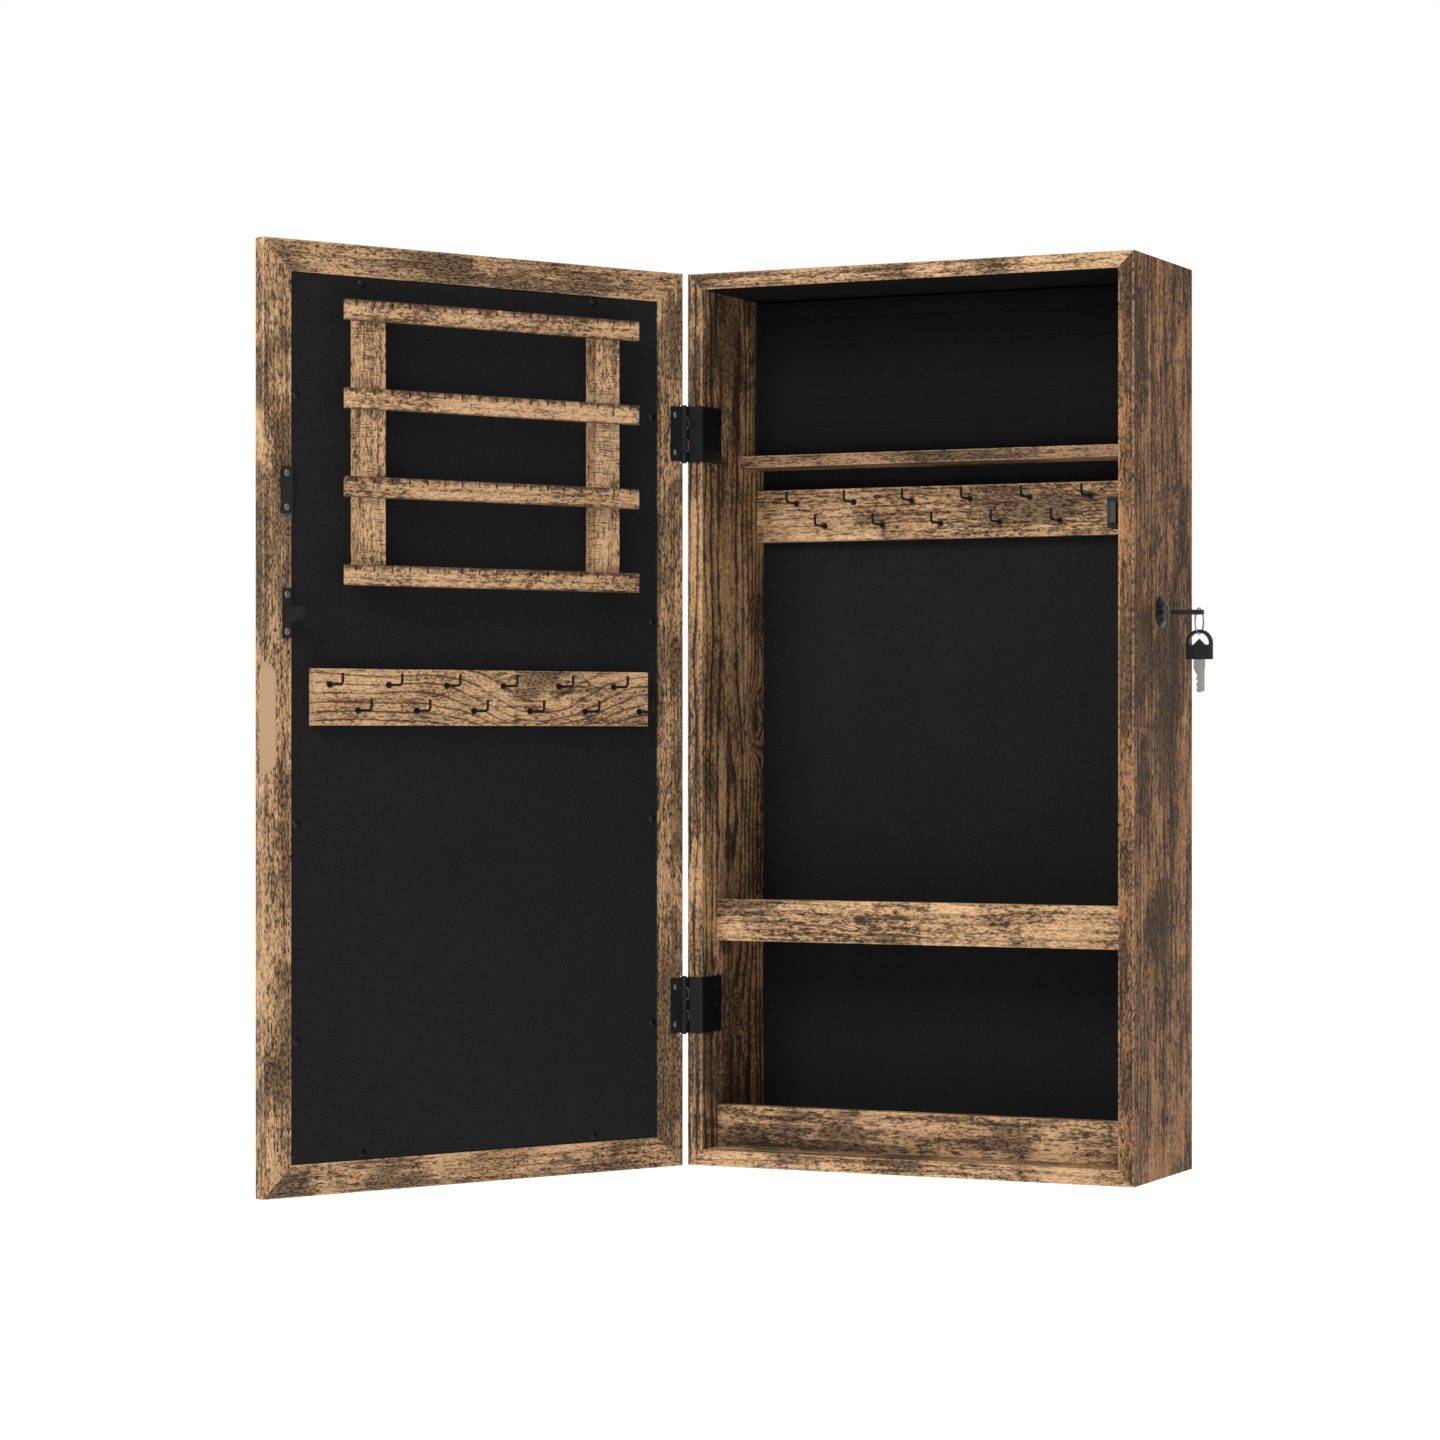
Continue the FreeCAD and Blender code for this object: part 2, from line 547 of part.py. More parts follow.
PANEL_EDGE = 27
panel_screw_spots = [(x, z) for x in (PANEL_EDGE, S.width - PANEL_EDGE) for z in (109, 261, 409, 561)]
panel_screw_spots += [(x, z) for x in (79.5, S.width - 79.5) for z in (PANEL_EDGE, S.height - PANEL_EDGE)]
panel_face = S.panel_thick - S.ledge_depth
panel_bores = screws("door_panel_screws", "panel",
                     [at(V(x, panel_face, z), REAR) for x, z in panel_screw_spots], DOOR)

strike_bores = screws("strike_screws", "leaf",
                      [at(V(336.5, S.strike_thick - FLUSH, z), REAR) for z in (482.5, 506.5)], DOOR)
keeper_bores = screws("keeper_screws", "leaf",
                      [at(V(336.2, S.keeper_thick - FLUSH, z), REAR) for z in (395.5, 421.5)], DOOR)

notches = [block(f"hinge_notch_{n}", ("-5", "0.2 - 2 * pin_x - knuckle + 1.7"), ("-4.5", "3"),
                 (f"{level} - leaf_half - 1", f"{level} + leaf_half + 1"))
           for n, level in enumerate(("hinge_low", "hinge_high"))]
hinge_stile = stile("hinge_stile_blank", lambda e: e)
keep("door_stile_hinge",
     bored("hinge_stile_bored", hinge_stile, panel_bores, door_leaf_bores, *notches), DOOR)

# a round cutter run along the corner leaves a slanting flat with a curved run-out at each end
scoop_out = V(1, 2, 0).normalize()
scoop_along = V(2, -1, 0).normalize()
cutter = "(scoop_run ^ 2 + scoop_sink ^ 2) / (2 * scoop_sink)"
cutter_size = (S.scoop_run ** 2 + S.scoop_sink ** 2) / (2 * S.scoop_sink)
cutter_travel = S.scoop_half - S.scoop_run
cutter_middle = V(S.width, 0, S.scoop_level) + scoop_out * (cutter_size - S.scoop_sink)
scoop_parts = [
    rod(f"scoop_end_{n}", cutter, "60",
        at(cutter_middle - scoop_along * 30 + UP * way * cutter_travel, scoop_along))
    for n, way in enumerate((-1, 1))]
scoop_flat = doc.addObject("Part::Box", "scoop_flat")
scoop_flat.Length = 60
scoop_flat.setExpression("Width", linked(f"2 * {cutter}"))
scoop_flat.setExpression("Height", linked("2 * (scoop_half - scoop_run)"))
scoop_flat.Placement = FreeCAD.Placement(
    cutter_middle - scoop_along * 30 - scoop_out * cutter_size - UP * cutter_travel,
    FreeCAD.Rotation(scoop_along, scoop_out, UP))
scoop = joined("finger_scoop", scoop_parts + [scoop_flat])
free_stile = stile("free_stile_blank", lambda e: f"width - ({e})")
keep("door_stile_free",
     bored("free_stile_bored", free_stile, panel_bores, strike_bores, keeper_bores, scoop), DOOR)
keep("door_rail_bottom", bored("bottom_rail_door", rail("low_rail_blank", lambda e: e), panel_bores),
     DOOR)
keep("door_rail_top",
     bored("top_rail_door", rail("high_rail_blank", lambda e: f"height - ({e})"), panel_bores), DOOR)


def sheet_in_frame(name, edge, low, high):
    """A flat sheet that fills the frame from edge inwards, with a little room all round."""
    return block(name, (f"{edge} + inset", f"width - {edge} - inset"), (low, high),
                 (f"{edge} + inset", f"height - {edge} - inset"))


mirror_low = "lip_thick - door_thick"
mirror_high = mirror_low + " + mirror_thick"
keep("mirror_glass", sheet_in_frame("mirror_sheet", "ledge_edge", mirror_low, mirror_high), DOOR)
keep("mirror_backing",
     sheet_in_frame("backing_sheet", "ledge_edge", mirror_high, mirror_high + " + backing_thick"),
     DOOR)
panel_blank = sheet_in_frame("panel_sheet", "member", "-ledge_depth", "panel_thick - ledge_depth")
keep("door_panel", bored("door_panel_bored", panel_blank, panel_bores), DOOR)

# ---------------------------------------------------------------- earring rack
on_panel = "panel_thick - ledge_depth"
BARS = range(4)
post_lefts = {"left": "bar_left + post_inset",
              "right": "bar_left + bar_long - post_inset - post_wide"}
post_middles = [S.bar_left + S.post_inset + S.post_wide / 2,
                S.bar_left + S.bar_long - S.post_inset - S.post_wide / 2]
bar_middles = [S.bar_low + S.bar_pitch * n + S.bar_tall / 2 for n in BARS]
rack_bores = screws("rack_screws", "rack",
                    [at(V(x, S.bar_face - FLUSH, z), REAR) for x in post_middles for z in bar_middles],
                    DOOR)
for end, left in post_lefts.items():
    post = block(f"post_blank_{end}", (left, f"{left} + post_wide"), (on_panel, "bar_face - bar_thick"),
                 ("bar_low + 0.6", "bar_low + 3 * bar_pitch + bar_tall - 0.6"))
    keep(f"rack_post_{end}", bored(f"post_{end}", post, rack_bores), DOOR)


def pattern(body, feature, sketch, count, pitch):
    """Repeat a cut along X."""
    row = body.newObject("PartDesign::LinearPattern", feature.Name + "_row")
    row.Originals = [feature]
    row.Direction = (sketch, ["H_Axis"])
    row.setExpression("Length", linked(f"({count} - 1) * {pitch}"))
    row.setExpression("Occurrences", linked(count))
    body.Tip = row


def rack_bar(name, low):
    """A bar with slots for ear wires along its top and small holes for studs in its face."""
    top = f"{low} + bar_tall"
    body = block(name, ("bar_left", "bar_left + bar_long"), ("bar_face - bar_thick", "bar_face"),
                 (low, top))
    slot = new_sketch(body, name + "_slot", "XZ_Plane", "bar_face")
    middle = "bar_left + notch_first"
    add_loop(slot, [(f"{middle} - notch_half", f"{top} - notch_deep"),
                    (f"{middle} + notch_half", f"{top} - notch_deep"),
                    (f"{middle} + notch_half", f"{top} + 1"), (f"{middle} - notch_half", f"{top} + 1")])
    pattern(body, cut_through(body, slot), slot, "notch_count", "notch_pitch")
    dot = new_sketch(body, name + "_dot", "XZ_Plane", "bar_face")
    add_disc(dot, (f"{middle} + 1.5 * notch_pitch", f"{low} + bar_tall / 2"), "stud_hole")
    hole = body.newObject("PartDesign::Pocket", name + "_dot_cut")
    hole.Profile = dot
    hole.Reversed = True
    hole.setExpression("Length", linked("stud_deep"))
    pattern(body, hole, dot, "stud_count", "2 * notch_pitch")
    return body


for n in BARS:
    blank = rack_bar(f"bar_blank_{n + 1}", f"bar_low + {n} * bar_pitch")
    keep(f"rack_bar_{n + 1}", bored(f"bar_{n + 1}", blank, rack_bores), DOOR)

# ---------------------------------------------------------------- hooks and plates on the door
door_hook_spots = [(67.9 + 47.8 * n, 358.7) for n in HOOK_ROW] + [(45.1 + 47.8 * n, 340.6) for n in HOOK_ROW]
door_hook_places = [at(V(x, S.door_hooks_face, z)) for x, z in door_hook_spots]
keep("door_hooks", copies("door_hooks_set", hook, door_hook_places), DOOR)
hook_board = block("door_hook_blank", ("door_hooks_left", "door_hooks_left + door_hooks_long"),
                   (on_panel, "door_hooks_face"), ("door_hooks_low", "door_hooks_low + 40"))
keep("door_hook_board",
     bored("door_hook_bored", hook_board, hook_bores("door_hook_bores", door_hook_places)), DOOR)

strike_blank = block("strike_blank", ("strike_left", "strike_left + strike_wide"),
                     ("0", "strike_thick"), ("strike_low", "strike_low + strike_tall"))
keep("strike_plate", bored("strike_bored", strike_blank, strike_bores), DOOR)

keeper_x = ("keeper_left", "keeper_left + keeper_wide")
keeper_parts = [
    block("keeper_plate", keeper_x, ("0", "keeper_thick"), ("keeper_low", "keeper_low + keeper_tall")),
    block("keeper_tab", (keeper_x[1] + " - keeper_thick", keeper_x[1]), ("0", "keeper_reach"),
          ("tab_low", "tab_high")),
    block("keeper_lip", keeper_x, ("keeper_reach - keeper_thick", "keeper_reach"),
          ("lip_low", "tab_high"))]
keep("lock_keeper", bored("keeper_bored", joined("keeper", keeper_parts), keeper_bores), DOOR)


# ---------------------------------------------------------------- lock
def turned_piece(name, profile):
    """A solid of revolution about X from (x, radius) corners."""
    body = doc.addObject("PartDesign::Body", name)
    sketch = new_sketch(body, name + "_profile", "XY_Plane")
    add_loop(sketch, profile)
    turning = body.newObject("PartDesign::Revolution", name + "_turned")
    turning.Profile = sketch
    turning.ReferenceAxis = (sketch, ["H_Axis"])
    turning.Angle = 360
    return body


plug_bore = "plug + plug_room"
keep("lock_barrel", turned_piece("lock_barrel_turned", [
    ("-barrel_inner", plug_bore), ("dome", plug_bore), ("dome", "flange_top - 0.6"),
    ("dome - 0.4", "flange_top"), ("0.8 * dome - 0.7", "flange_top + 1.9"),
    ("0.4 * dome", "flange - 0.6"), ("0.2 * dome", "flange"), ("0", "flange"), ("0", "barrel"),
    ("-barrel_inner", "barrel")]), LOCK)

hexagon = [(f"nut_flats / 1.7320508 * cos({60 * n + 30})", f"nut_flats / 1.7320508 * sin({60 * n + 30})")
           for n in range(6)]
nut_blank = prism("nut_blank", "YZ_Plane", hexagon, "-board - nut_thick", "nut_thick")
nut_way = rod("nut_way", "barrel + 0.05", "60", at(V(-50, 0, 0), RIGHT))
keep("lock_nut", bored("lock_nut_bored", nut_blank, nut_way), LOCK)

cam_face = "-barrel_inner - 0.3"
cam_end = f"{cam_face} - cam_thick"
plug_blank = turned_piece("plug_turned", [
    (cam_end, "0"), ("dome - 0.2", "0"), ("dome - 0.2", "plug"), (cam_face, "plug"),
    (cam_face, "spigot"), (cam_end, "spigot")])
key_slot = block("key_slot", ("dome - slot_deep", "dome + 1"), ("-slot_half", "slot_half"),
                 ("-slot_thick_half", "slot_thick_half"))
cam_screw_end = S.barrel_inner + 0.3 + S.cam_thick
cam_bore = screws("cam_screw", "cam", [at(V(-cam_screw_end, 0, 0), LEFT)], LOCK)
keep("lock_plug", bored("lock_plug_bored", plug_blank, key_slot, cam_bore), LOCK)

cam_corners = [(5, 6), (18, -12), (18, -50), (2, -50), (2, -43.5), (9.5, -43.5), (9.5, -20), (-6, -4)]
cam_arm = prism("cam_arm", "YZ_Plane", cam_corners, cam_end, "cam_thick")
cam_hub = rod("cam_hub", "8", "cam_thick", at(V(-cam_screw_end, 0, 0), RIGHT))
cam_eye = rod("cam_eye", "spigot + 0.02", "20", at(V(-cam_screw_end - 5, 0, 0), RIGHT))
keep("lock_cam", bored("lock_cam_bored", joined("cam", [cam_arm, cam_hub]), cam_eye), LOCK)


# ---------------------------------------------------------------- keys and ring
def key_pieces(name):
    """A flat key along X with a round-ended plastic head and a wedge-shaped hole in it."""
    half_thick = "head_thick / 2"
    collar_end = "key_start + collar_long"
    head = joined(name + "_head_outline", [
        rod(name + "_head_round", "head", "head_thick", at(V(S.head_middle, 0, -S.head_thick / 2))),
        block(name + "_head_square", (collar_end, "head_middle"), ("-head", "head"),
              (f"-{half_thick}", half_thick))])
    hole_disc = rod(name + "_hole_disc", "head_hole", "20", at(V(S.head_middle, 0, -10)))
    keep_out = prism(name + "_hole_limit", "XY_Plane", [
        ("head_middle - 1", "-20"), ("head_middle - 1", "-4.2"), ("head_middle + bump", "0"),
        ("head_middle - 1", "4.2"), ("head_middle - 1", "20"), ("0", "20"), ("0", "-20")], "-15", "30")
    hole = bored(name + "_hole", hole_disc, keep_out)
    blade_half = "blade_thick / 2"
    blade_start = "key_start - blade_long"
    teeth = [("-2.4", "2.6"), ("-4.6", "1.2"), ("-6.6", "2.4"), ("-8.8", "0.9"), ("-11", "2.2"),
             ("-13", "1.3")]
    edge = [(f"key_start + {x}", y) for x, y in teeth]
    blade = prism(name + "_blade_outline", "XY_Plane", [
        ("key_start", "-blade_half"), ("key_start", "blade_half"), *edge,
        (f"{blade_start} + 1.2", "2"), (blade_start, "0.4"), (f"{blade_start} + 1.2", "-blade_half")],
        f"-{blade_half}", "blade_thick")
    collar = block(name + "_collar", ("key_start", collar_end), ("-collar_half", "collar_half"),
                   ("-1.1", "1.1"))
    return joined(name + "_blade", [blade, collar]), bored(name + "_head", head, hole)


key_blade, key_head = key_pieces("key")
keep("key_blade", key_blade, LOCK)
keep("key_head", key_head, LOCK)

ring_centre = V(S.head_middle + S.ring_out, S.ring_side, -S.ring_drop)
ring = doc.addObject("Part::Torus", "key_ring_torus")
ring.setExpression("Radius1", linked("ring"))
ring.setExpression("Radius2", linked("ring_wire"))
keep("key_ring", ring, LOCK * at(ring_centre, RIGHT))

# the spare key hangs straight down from the foot of the ring, its flat side to the front
spare_head = ring_centre - V(0, 0, S.ring + S.spare_drop)
UPRIGHT = FreeCAD.Placement(spare_head, FreeCAD.Rotation(V(0, 1, 0), -90)) \
    * FreeCAD.Placement(V(-S.head_middle, 0, 0), FreeCAD.Rotation(RIGHT, 90))
spare_blade, spare_head_piece = key_pieces("spare")
keep("spare_key_blade", spare_blade, LOCK * UPRIGHT)
keep("spare_key_head", spare_head_piece, LOCK * UPRIGHT)

# ---------------------------------------------------------------- checks and files
doc.recompute()
for piece in doc.Objects:
    if "Invalid" in piece.State or "Error" in piece.State:
        raise RuntimeError(f"{piece.Name} failed: {piece.State}")
for name, piece in NODES.items():
    if piece.Shape.isNull() or not piece.Shape.isValid() or not piece.Shape.Solids:
        raise RuntimeError(f"{name} has no valid solid")

os.makedirs("parts", exist_ok=True)
for name, piece in NODES.items():
    piece.Shape.exportStep(os.path.join("parts", name + ".step"))
    print(f"{name}: {len(piece.Shape.Solids)} solids, {piece.Shape.Volume / 1000:.2f} cm3")
print(len(NODES), "pieces written")
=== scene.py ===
# %% [markdown]
# # A mirror cabinet for jewellery, shown open
#
# The real thing is a shallow wooden case that hangs on a wall. Its door carries a mirror
# outside and, inside, a rack for earrings and a board of hooks. The solid model already
# holds every piece at its true size, so this lesson is about looks: wood that has grain,
# smoke-dark patches and rubbed corners, black felt, a velvet pad, enamelled hardware.
#
# All lengths are metres. X runs to the right, Y into the wall and Z up, and the origin
# lies midway between the two hangers on the cabinet's back.

# %% Load the solid model
import json
import math

import bpy
import numpy as np
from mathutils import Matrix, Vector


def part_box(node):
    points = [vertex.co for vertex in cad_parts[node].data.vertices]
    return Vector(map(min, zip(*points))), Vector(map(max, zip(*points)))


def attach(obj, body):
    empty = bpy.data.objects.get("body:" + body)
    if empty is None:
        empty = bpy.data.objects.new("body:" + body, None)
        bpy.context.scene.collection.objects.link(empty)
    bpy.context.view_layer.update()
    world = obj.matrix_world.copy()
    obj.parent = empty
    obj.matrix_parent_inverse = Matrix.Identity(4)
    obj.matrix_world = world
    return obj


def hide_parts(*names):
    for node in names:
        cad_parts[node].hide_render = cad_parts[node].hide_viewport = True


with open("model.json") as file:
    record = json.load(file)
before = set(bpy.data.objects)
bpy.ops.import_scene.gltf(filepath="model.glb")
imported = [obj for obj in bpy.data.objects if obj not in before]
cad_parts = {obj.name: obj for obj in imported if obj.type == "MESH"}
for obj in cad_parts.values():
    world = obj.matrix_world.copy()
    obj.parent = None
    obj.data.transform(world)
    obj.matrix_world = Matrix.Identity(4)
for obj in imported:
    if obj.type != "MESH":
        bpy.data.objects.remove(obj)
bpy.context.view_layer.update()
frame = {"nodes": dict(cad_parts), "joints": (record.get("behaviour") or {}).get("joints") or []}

MM = 0.001

# %% [markdown]
# ## Two places to measure from
#
# The case stands square in the model, but the door hangs open at an angle, and it would be
# awkward to shape a door stile or run its grain in slanted coordinates. So the door gets
# its own frame: `a` along the door from the hinge edge, `t` off its inner face, `z` up. The
# hinge's stored range says how far the door is from shut, and one turn about the pin
# carries points from the shut door to the open one.

# %% Find the case's corner and the door's frame
hinge = next(joint for joint in frame["joints"] if joint["name"] == "door_hinge")
PIN = np.array(hinge["pos_m"])
OPEN = math.radians(hinge["range_deg"][0])
CORNER = np.array([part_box("side_board_left")[0].x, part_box("side_board_left")[0].y,
                   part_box("bottom_board")[0].z])
DOOR_GAP = 2.2 * MM
DOOR_CORNER = CORNER - np.array([0, DOOR_GAP, 0])


def turned(points, angle):
    """Points turned about the upright axis: x' = x cos - y sin, y' = x sin + y cos."""
    spin = np.array([[math.cos(angle), -math.sin(angle), 0],
                     [math.sin(angle), math.cos(angle), 0], [0, 0, 1]])
    return points @ spin.T


def from_door(points):
    """Door frame to model: shift to the shut door, then turn about the hinge pin."""
    return turned(points + DOOR_CORNER - PIN, OPEN) + PIN


def from_case(points):
    """Case frame to model: the case's corner is added."""
    return points + CORNER


def extent(node, on_door=False):
    """(low, high) corners of a solid piece in the case's frame, or in the door's."""
    mesh = frame["nodes"][node].data
    points = np.empty(len(mesh.vertices) * 3)
    mesh.vertices.foreach_get("co", points)
    points = points.reshape(-1, 3)
    if on_door:
        points = turned(points - PIN, -OPEN) + PIN - DOOR_CORNER
    else:
        points = points - CORNER
    return points.min(0), points.max(0)


print("door stile:", np.round(extent("door_stile_free", True), 4).tolist())

# %% [markdown]
# ## Camera, light and floor
#
# A product picture of a tall cabinet is taken with a long lens from half its height, so
# that upright edges stay upright. The lens is held level and the frame is moved by its
# shift. One broad lamp in front gives the boards their soft shading, a weaker one lifts
# the lock side, and a white sky fills the rest.

# %% Set up the camera
LENS, SENSOR = 94.88, 36
FRAME_SHIFT = (-0.0772, 0.0125)
STANDPOINT = (1.0853, -2.6935, -0.3088)
LEVEL, ROUND_TO_THE_RIGHT = math.radians(90), math.radians(24.06)
camera = bpy.data.objects.new("camera", bpy.data.cameras.new("camera"))
bpy.context.scene.collection.objects.link(camera)
camera.data.lens = LENS
camera.data.sensor_width = SENSOR
camera.data.shift_x, camera.data.shift_y = FRAME_SHIFT
camera.data.clip_end = 60
camera.location = STANDPOINT
camera.rotation_euler = (LEVEL, 0, ROUND_TO_THE_RIGHT)
bpy.context.scene.camera = camera
print("camera at", tuple(camera.location))


# %% Hang two soft lamps and lay the floor
def soft_lamp(name, place, target, size, power):
    """A square area lamp at place, facing target."""
    lamp = bpy.data.lights.new(name, "AREA")
    lamp.size = size
    lamp.energy = power
    holder = bpy.data.objects.new(name, lamp)
    holder.location = place
    look = np.array(target) - np.array(place)
    holder.rotation_euler = (math.atan2(math.hypot(look[0], look[1]), -look[2]), 0,
                             math.atan2(look[1], look[0]) - math.pi / 2)
    bpy.context.scene.collection.objects.link(holder)


soft_lamp("front_lamp", (-0.5, -3.2, 1.6), (0, 0, -0.3), 1.6, 80)
soft_lamp("side_lamp", (2.6, -0.9, 0.6), (0.1, -0.1, -0.3), 1.2, 5)

sky = bpy.data.worlds.new("sky")
sky.use_nodes = True
sky_out = sky.node_tree.nodes["Background"]
sky_out.inputs["Color"].default_value = (1, 1, 1, 1)
# the sky is seen as pure white, and lights the cabinet with half of that
seen = sky.node_tree.nodes.new("ShaderNodeLightPath")
strength = sky.node_tree.nodes.new("ShaderNodeMapRange")
strength.inputs["To Min"].default_value = 0.5
sky.node_tree.links.new(seen.outputs["Is Camera Ray"], strength.inputs["Value"])
sky.node_tree.links.new(strength.outputs[0], sky_out.inputs["Strength"])
bpy.context.scene.world = sky
bpy.context.scene.view_settings.view_transform = "Standard"

# %% [markdown]
# ## Skins from arrays of points
#
# Every new board is one grid of points: a closed outline of `n` points repeated in `m`
# rows. The grid becomes a mesh in one call, and the two open ends are closed with a lid.
# The signed volume of the result says whether the faces point outwards, so no piece needs
# turning by hand. A board's outline has a small arc at each corner, and the points on
# that arc carry the number 1 in an attribute: the wood finish reads it to make the corners
# pale, partly as rubbed wear and partly as a painted highlight along each rounded arris,
# which is the cheapest way to get edges that follow the real edges.


# %% Write the two helpers that boards use
def skin(name, rows, wear_and_highlight, cut=None):
    """Mesh of a grid rows[m, n, 3], closed round n, with a lid on each end.

    The sides' share of the volume = sum over their triangles of first . (second x third) / 6,
    measured from the middle: if it is below 0, the order of every face is turned round."""
    m, n = rows.shape[:2]
    i, j = np.meshgrid(np.arange(m - 1), np.arange(n), indexing="ij")
    k = (j + 1) % n
    quads = np.stack([i * n + j, i * n + k, (i + 1) * n + k, (i + 1) * n + j], -1).reshape(-1, 4)
    points = rows.reshape(-1, 3)
    p = points[quads] - points.mean(0)
    volume = np.einsum("ij,ij->i", p[:, 0], np.cross(p[:, 1], p[:, 2])).sum()
    volume += np.einsum("ij,ij->i", p[:, 0], np.cross(p[:, 2], p[:, 3])).sum()
    faces = quads.tolist() + [list(range(n))[::-1], list(range((m - 1) * n, m * n))]
    if volume < 0:
        faces = [face[::-1] for face in faces]
    mesh = bpy.data.meshes.new(name)
    mesh.from_pydata(points.tolist(), [], faces)
    for label, values in (("wear_and_highlight", wear_and_highlight), ("cut", cut)):
        if values is not None:
            layer = mesh.attributes.new(label, "FLOAT", "POINT")
            layer.data.foreach_set("value", values.astype(np.float32).ravel())
    mesh.shade_smooth()
    mesh.set_sharp_from_angle(angle=math.radians(38))
    piece = bpy.data.objects.new(name, mesh)
    bpy.context.scene.collection.objects.link(piece)
    return piece


ARC = 5               # points on the arc at a corner
PER_CORNER = ARC + 2  # and one more on each side of it, where the pale edge has faded
FADE = 2.2            # how far out that point lies, in radii of the arc


def outline(corners, arris=0.6 * MM):
    """A closed outline with rounded corners, and how pale each of its points is made, as wear and
    painted highlight.

    Each corner P becomes the curve (1-s)^2 (P + r d0) + 2 s (1-s) P + s^2 (P + r d1), where
    d0 and d1 point to its neighbours; a point further out on each side, FADE times r away,
    marks where the pale edge has faded to nothing."""
    p = np.asarray(corners, float)
    back, ahead = np.roll(p, 1, 0) - p, np.roll(p, -1, 0) - p
    room = np.minimum(np.linalg.norm(back, axis=1), np.linalg.norm(ahead, axis=1))
    r = np.minimum(arris, room / (2.2 * FADE))[:, None, None]
    d0 = (back / np.linalg.norm(back, axis=1, keepdims=True))[:, None]
    d1 = (ahead / np.linalg.norm(ahead, axis=1, keepdims=True))[:, None]
    s = np.linspace(0, 1, ARC)[None, :, None]
    at = p[:, None]
    arc = (1 - s) ** 2 * (at + r * d0) + 2 * s * (1 - s) * at + s ** 2 * (at + r * d1)
    loop = np.concatenate([at + FADE * r * d0, arc, at + FADE * r * d1], 1)
    wear_and_highlight_marks = np.ones(loop.shape[:2])
    wear_and_highlight_marks[:, [0, -1]] = 0
    return loop.reshape(-1, 2), wear_and_highlight_marks.ravel()


print("outline of a 12 x 130 mm board:", len(outline([(0, 0), (12, 0), (12, 130), (0, 130)])[0]))


# %% [markdown]
# A board is an outline carried along its length. What makes it fit its neighbours is where
# it stops: each outline point has its own two stops, so a stop that depends on the
# outline's position gives a mitre, and a constant one gives a square end.


# %% Write the board maker
def board(name, node, corners, start, stop, axes, place, wood, arris=0.6 * MM, body="cabinet"):
    """Carries an outline from start to stop: P = p e0 + q e1 + (start + v (stop - start)) e2,
    with v = 0 at one end and 1 at the other.

    corners are (p, q) pairs, axes names which of x, y, z are e0, e1 and e2, and start and
    stop are functions of the outline's points, so that each point has its own ends."""
    loop, wear_and_highlight_marks = outline(corners, arris)
    low, high = start(loop), stop(loop)
    v = np.array([[0.0], [1.0]])
    grid = np.empty((2, len(loop), 3))
    grid[..., "xyz".index(axes[0])] = loop[:, 0]
    grid[..., "xyz".index(axes[1])] = loop[:, 1]
    grid[..., "xyz".index(axes[2])] = low + v * (high - low)
    piece = skin(name, place(grid), np.broadcast_to(wear_and_highlight_marks, (2, len(loop))))
    finish_piece(piece, wood, body, node)


def finish_piece(piece, material, body, node):
    """Gives a piece its finish, lets it move with its body and hides the solid it shows."""
    piece.data.materials.append(material)
    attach(piece, body)
    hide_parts(node)


def paint(material, *nodes):
    """Gives solid pieces that keep their shape a finish."""
    for node in nodes:
        mesh = frame["nodes"][node].data
        mesh.materials.clear()
        mesh.materials.append(material)


print("board maker ready")

# %% [markdown]
# ## Shader maths as plain expressions
#
# A procedural finish is mostly arithmetic on noise. Written node by node it is unreadable,
# so this small class wraps one output of a node: `a * b + 0.2` on two of them adds the
# Math nodes. `node` makes anything else, with its settings first, because some sockets only
# exist after the setting that calls for them.


# %% Wrap a node's output
class Flow:
    """One value running through a material's nodes."""

    def __init__(self, tree, socket=None):
        self.tree = tree
        self.socket = socket

    def node(self, kind, settings, sockets, out=0):
        """A node of that type: its settings, then the values or links of its sockets."""
        made = self.tree.nodes.new("ShaderNode" + kind)
        for key, value in settings.items():
            setattr(made, key, value)
        for key, value in sockets.items():
            if isinstance(value, Flow):
                self.tree.links.new(value.socket, made.inputs[key])
            else:
                made.inputs[key].default_value = value
        return Flow(self.tree, made.outputs[out])

    def math(self, operation, *others):
        """This value and the others run through one Math node."""
        values = dict(enumerate((self, *others)))
        return self.node("Math", {"operation": operation}, values)

    def __add__(self, other):
        return self.math("ADD", other)

    def __sub__(self, other):
        return self.math("SUBTRACT", other)

    def __mul__(self, other):
        return self.math("MULTIPLY", other)

    def __rsub__(self, other):
        return self.node("Math", {"operation": "SUBTRACT"}, {0: other, 1: self})

    __radd__ = __add__
    __rmul__ = __mul__

    def between(self, low, high):
        """0 below low, 1 above high, and an S-shaped slope in between."""
        return self.node("MapRange", {"interpolation_type": "SMOOTHSTEP"},
                         {0: self, 1: low, 2: high, 3: 0.0, 4: 1.0})

    def mix(self, first, second):
        """Colour: first where this value is 0, second where it is 1."""
        return self.node("Mix", {"data_type": "RGBA", "clamp_factor": True},
                         {0: self, 6: first, 7: second}, 2)

    def xyz(self):
        """The three parts of a vector."""
        made = self.node("SeparateXYZ", {}, {0: self}).socket.node
        return [Flow(self.tree, output) for output in made.outputs]

    def noise(self, scale=1.0, detail=3.0, roughness=0.5, warp=0.0):
        """Soft noise, about 0.5 on average, on this vector."""
        return self.node("TexNoise", {}, {"Vector": self, "Scale": scale, "Detail": detail,
                                          "Roughness": roughness, "Distortion": warp})

    def stretched(self, scale, shift=(0, 0, 0), turn=(0, 0, 0)):
        """This vector scaled, then turned, then shifted."""
        return self.node("Mapping", {}, {0: self, 1: shift, 2: turn, 3: scale})


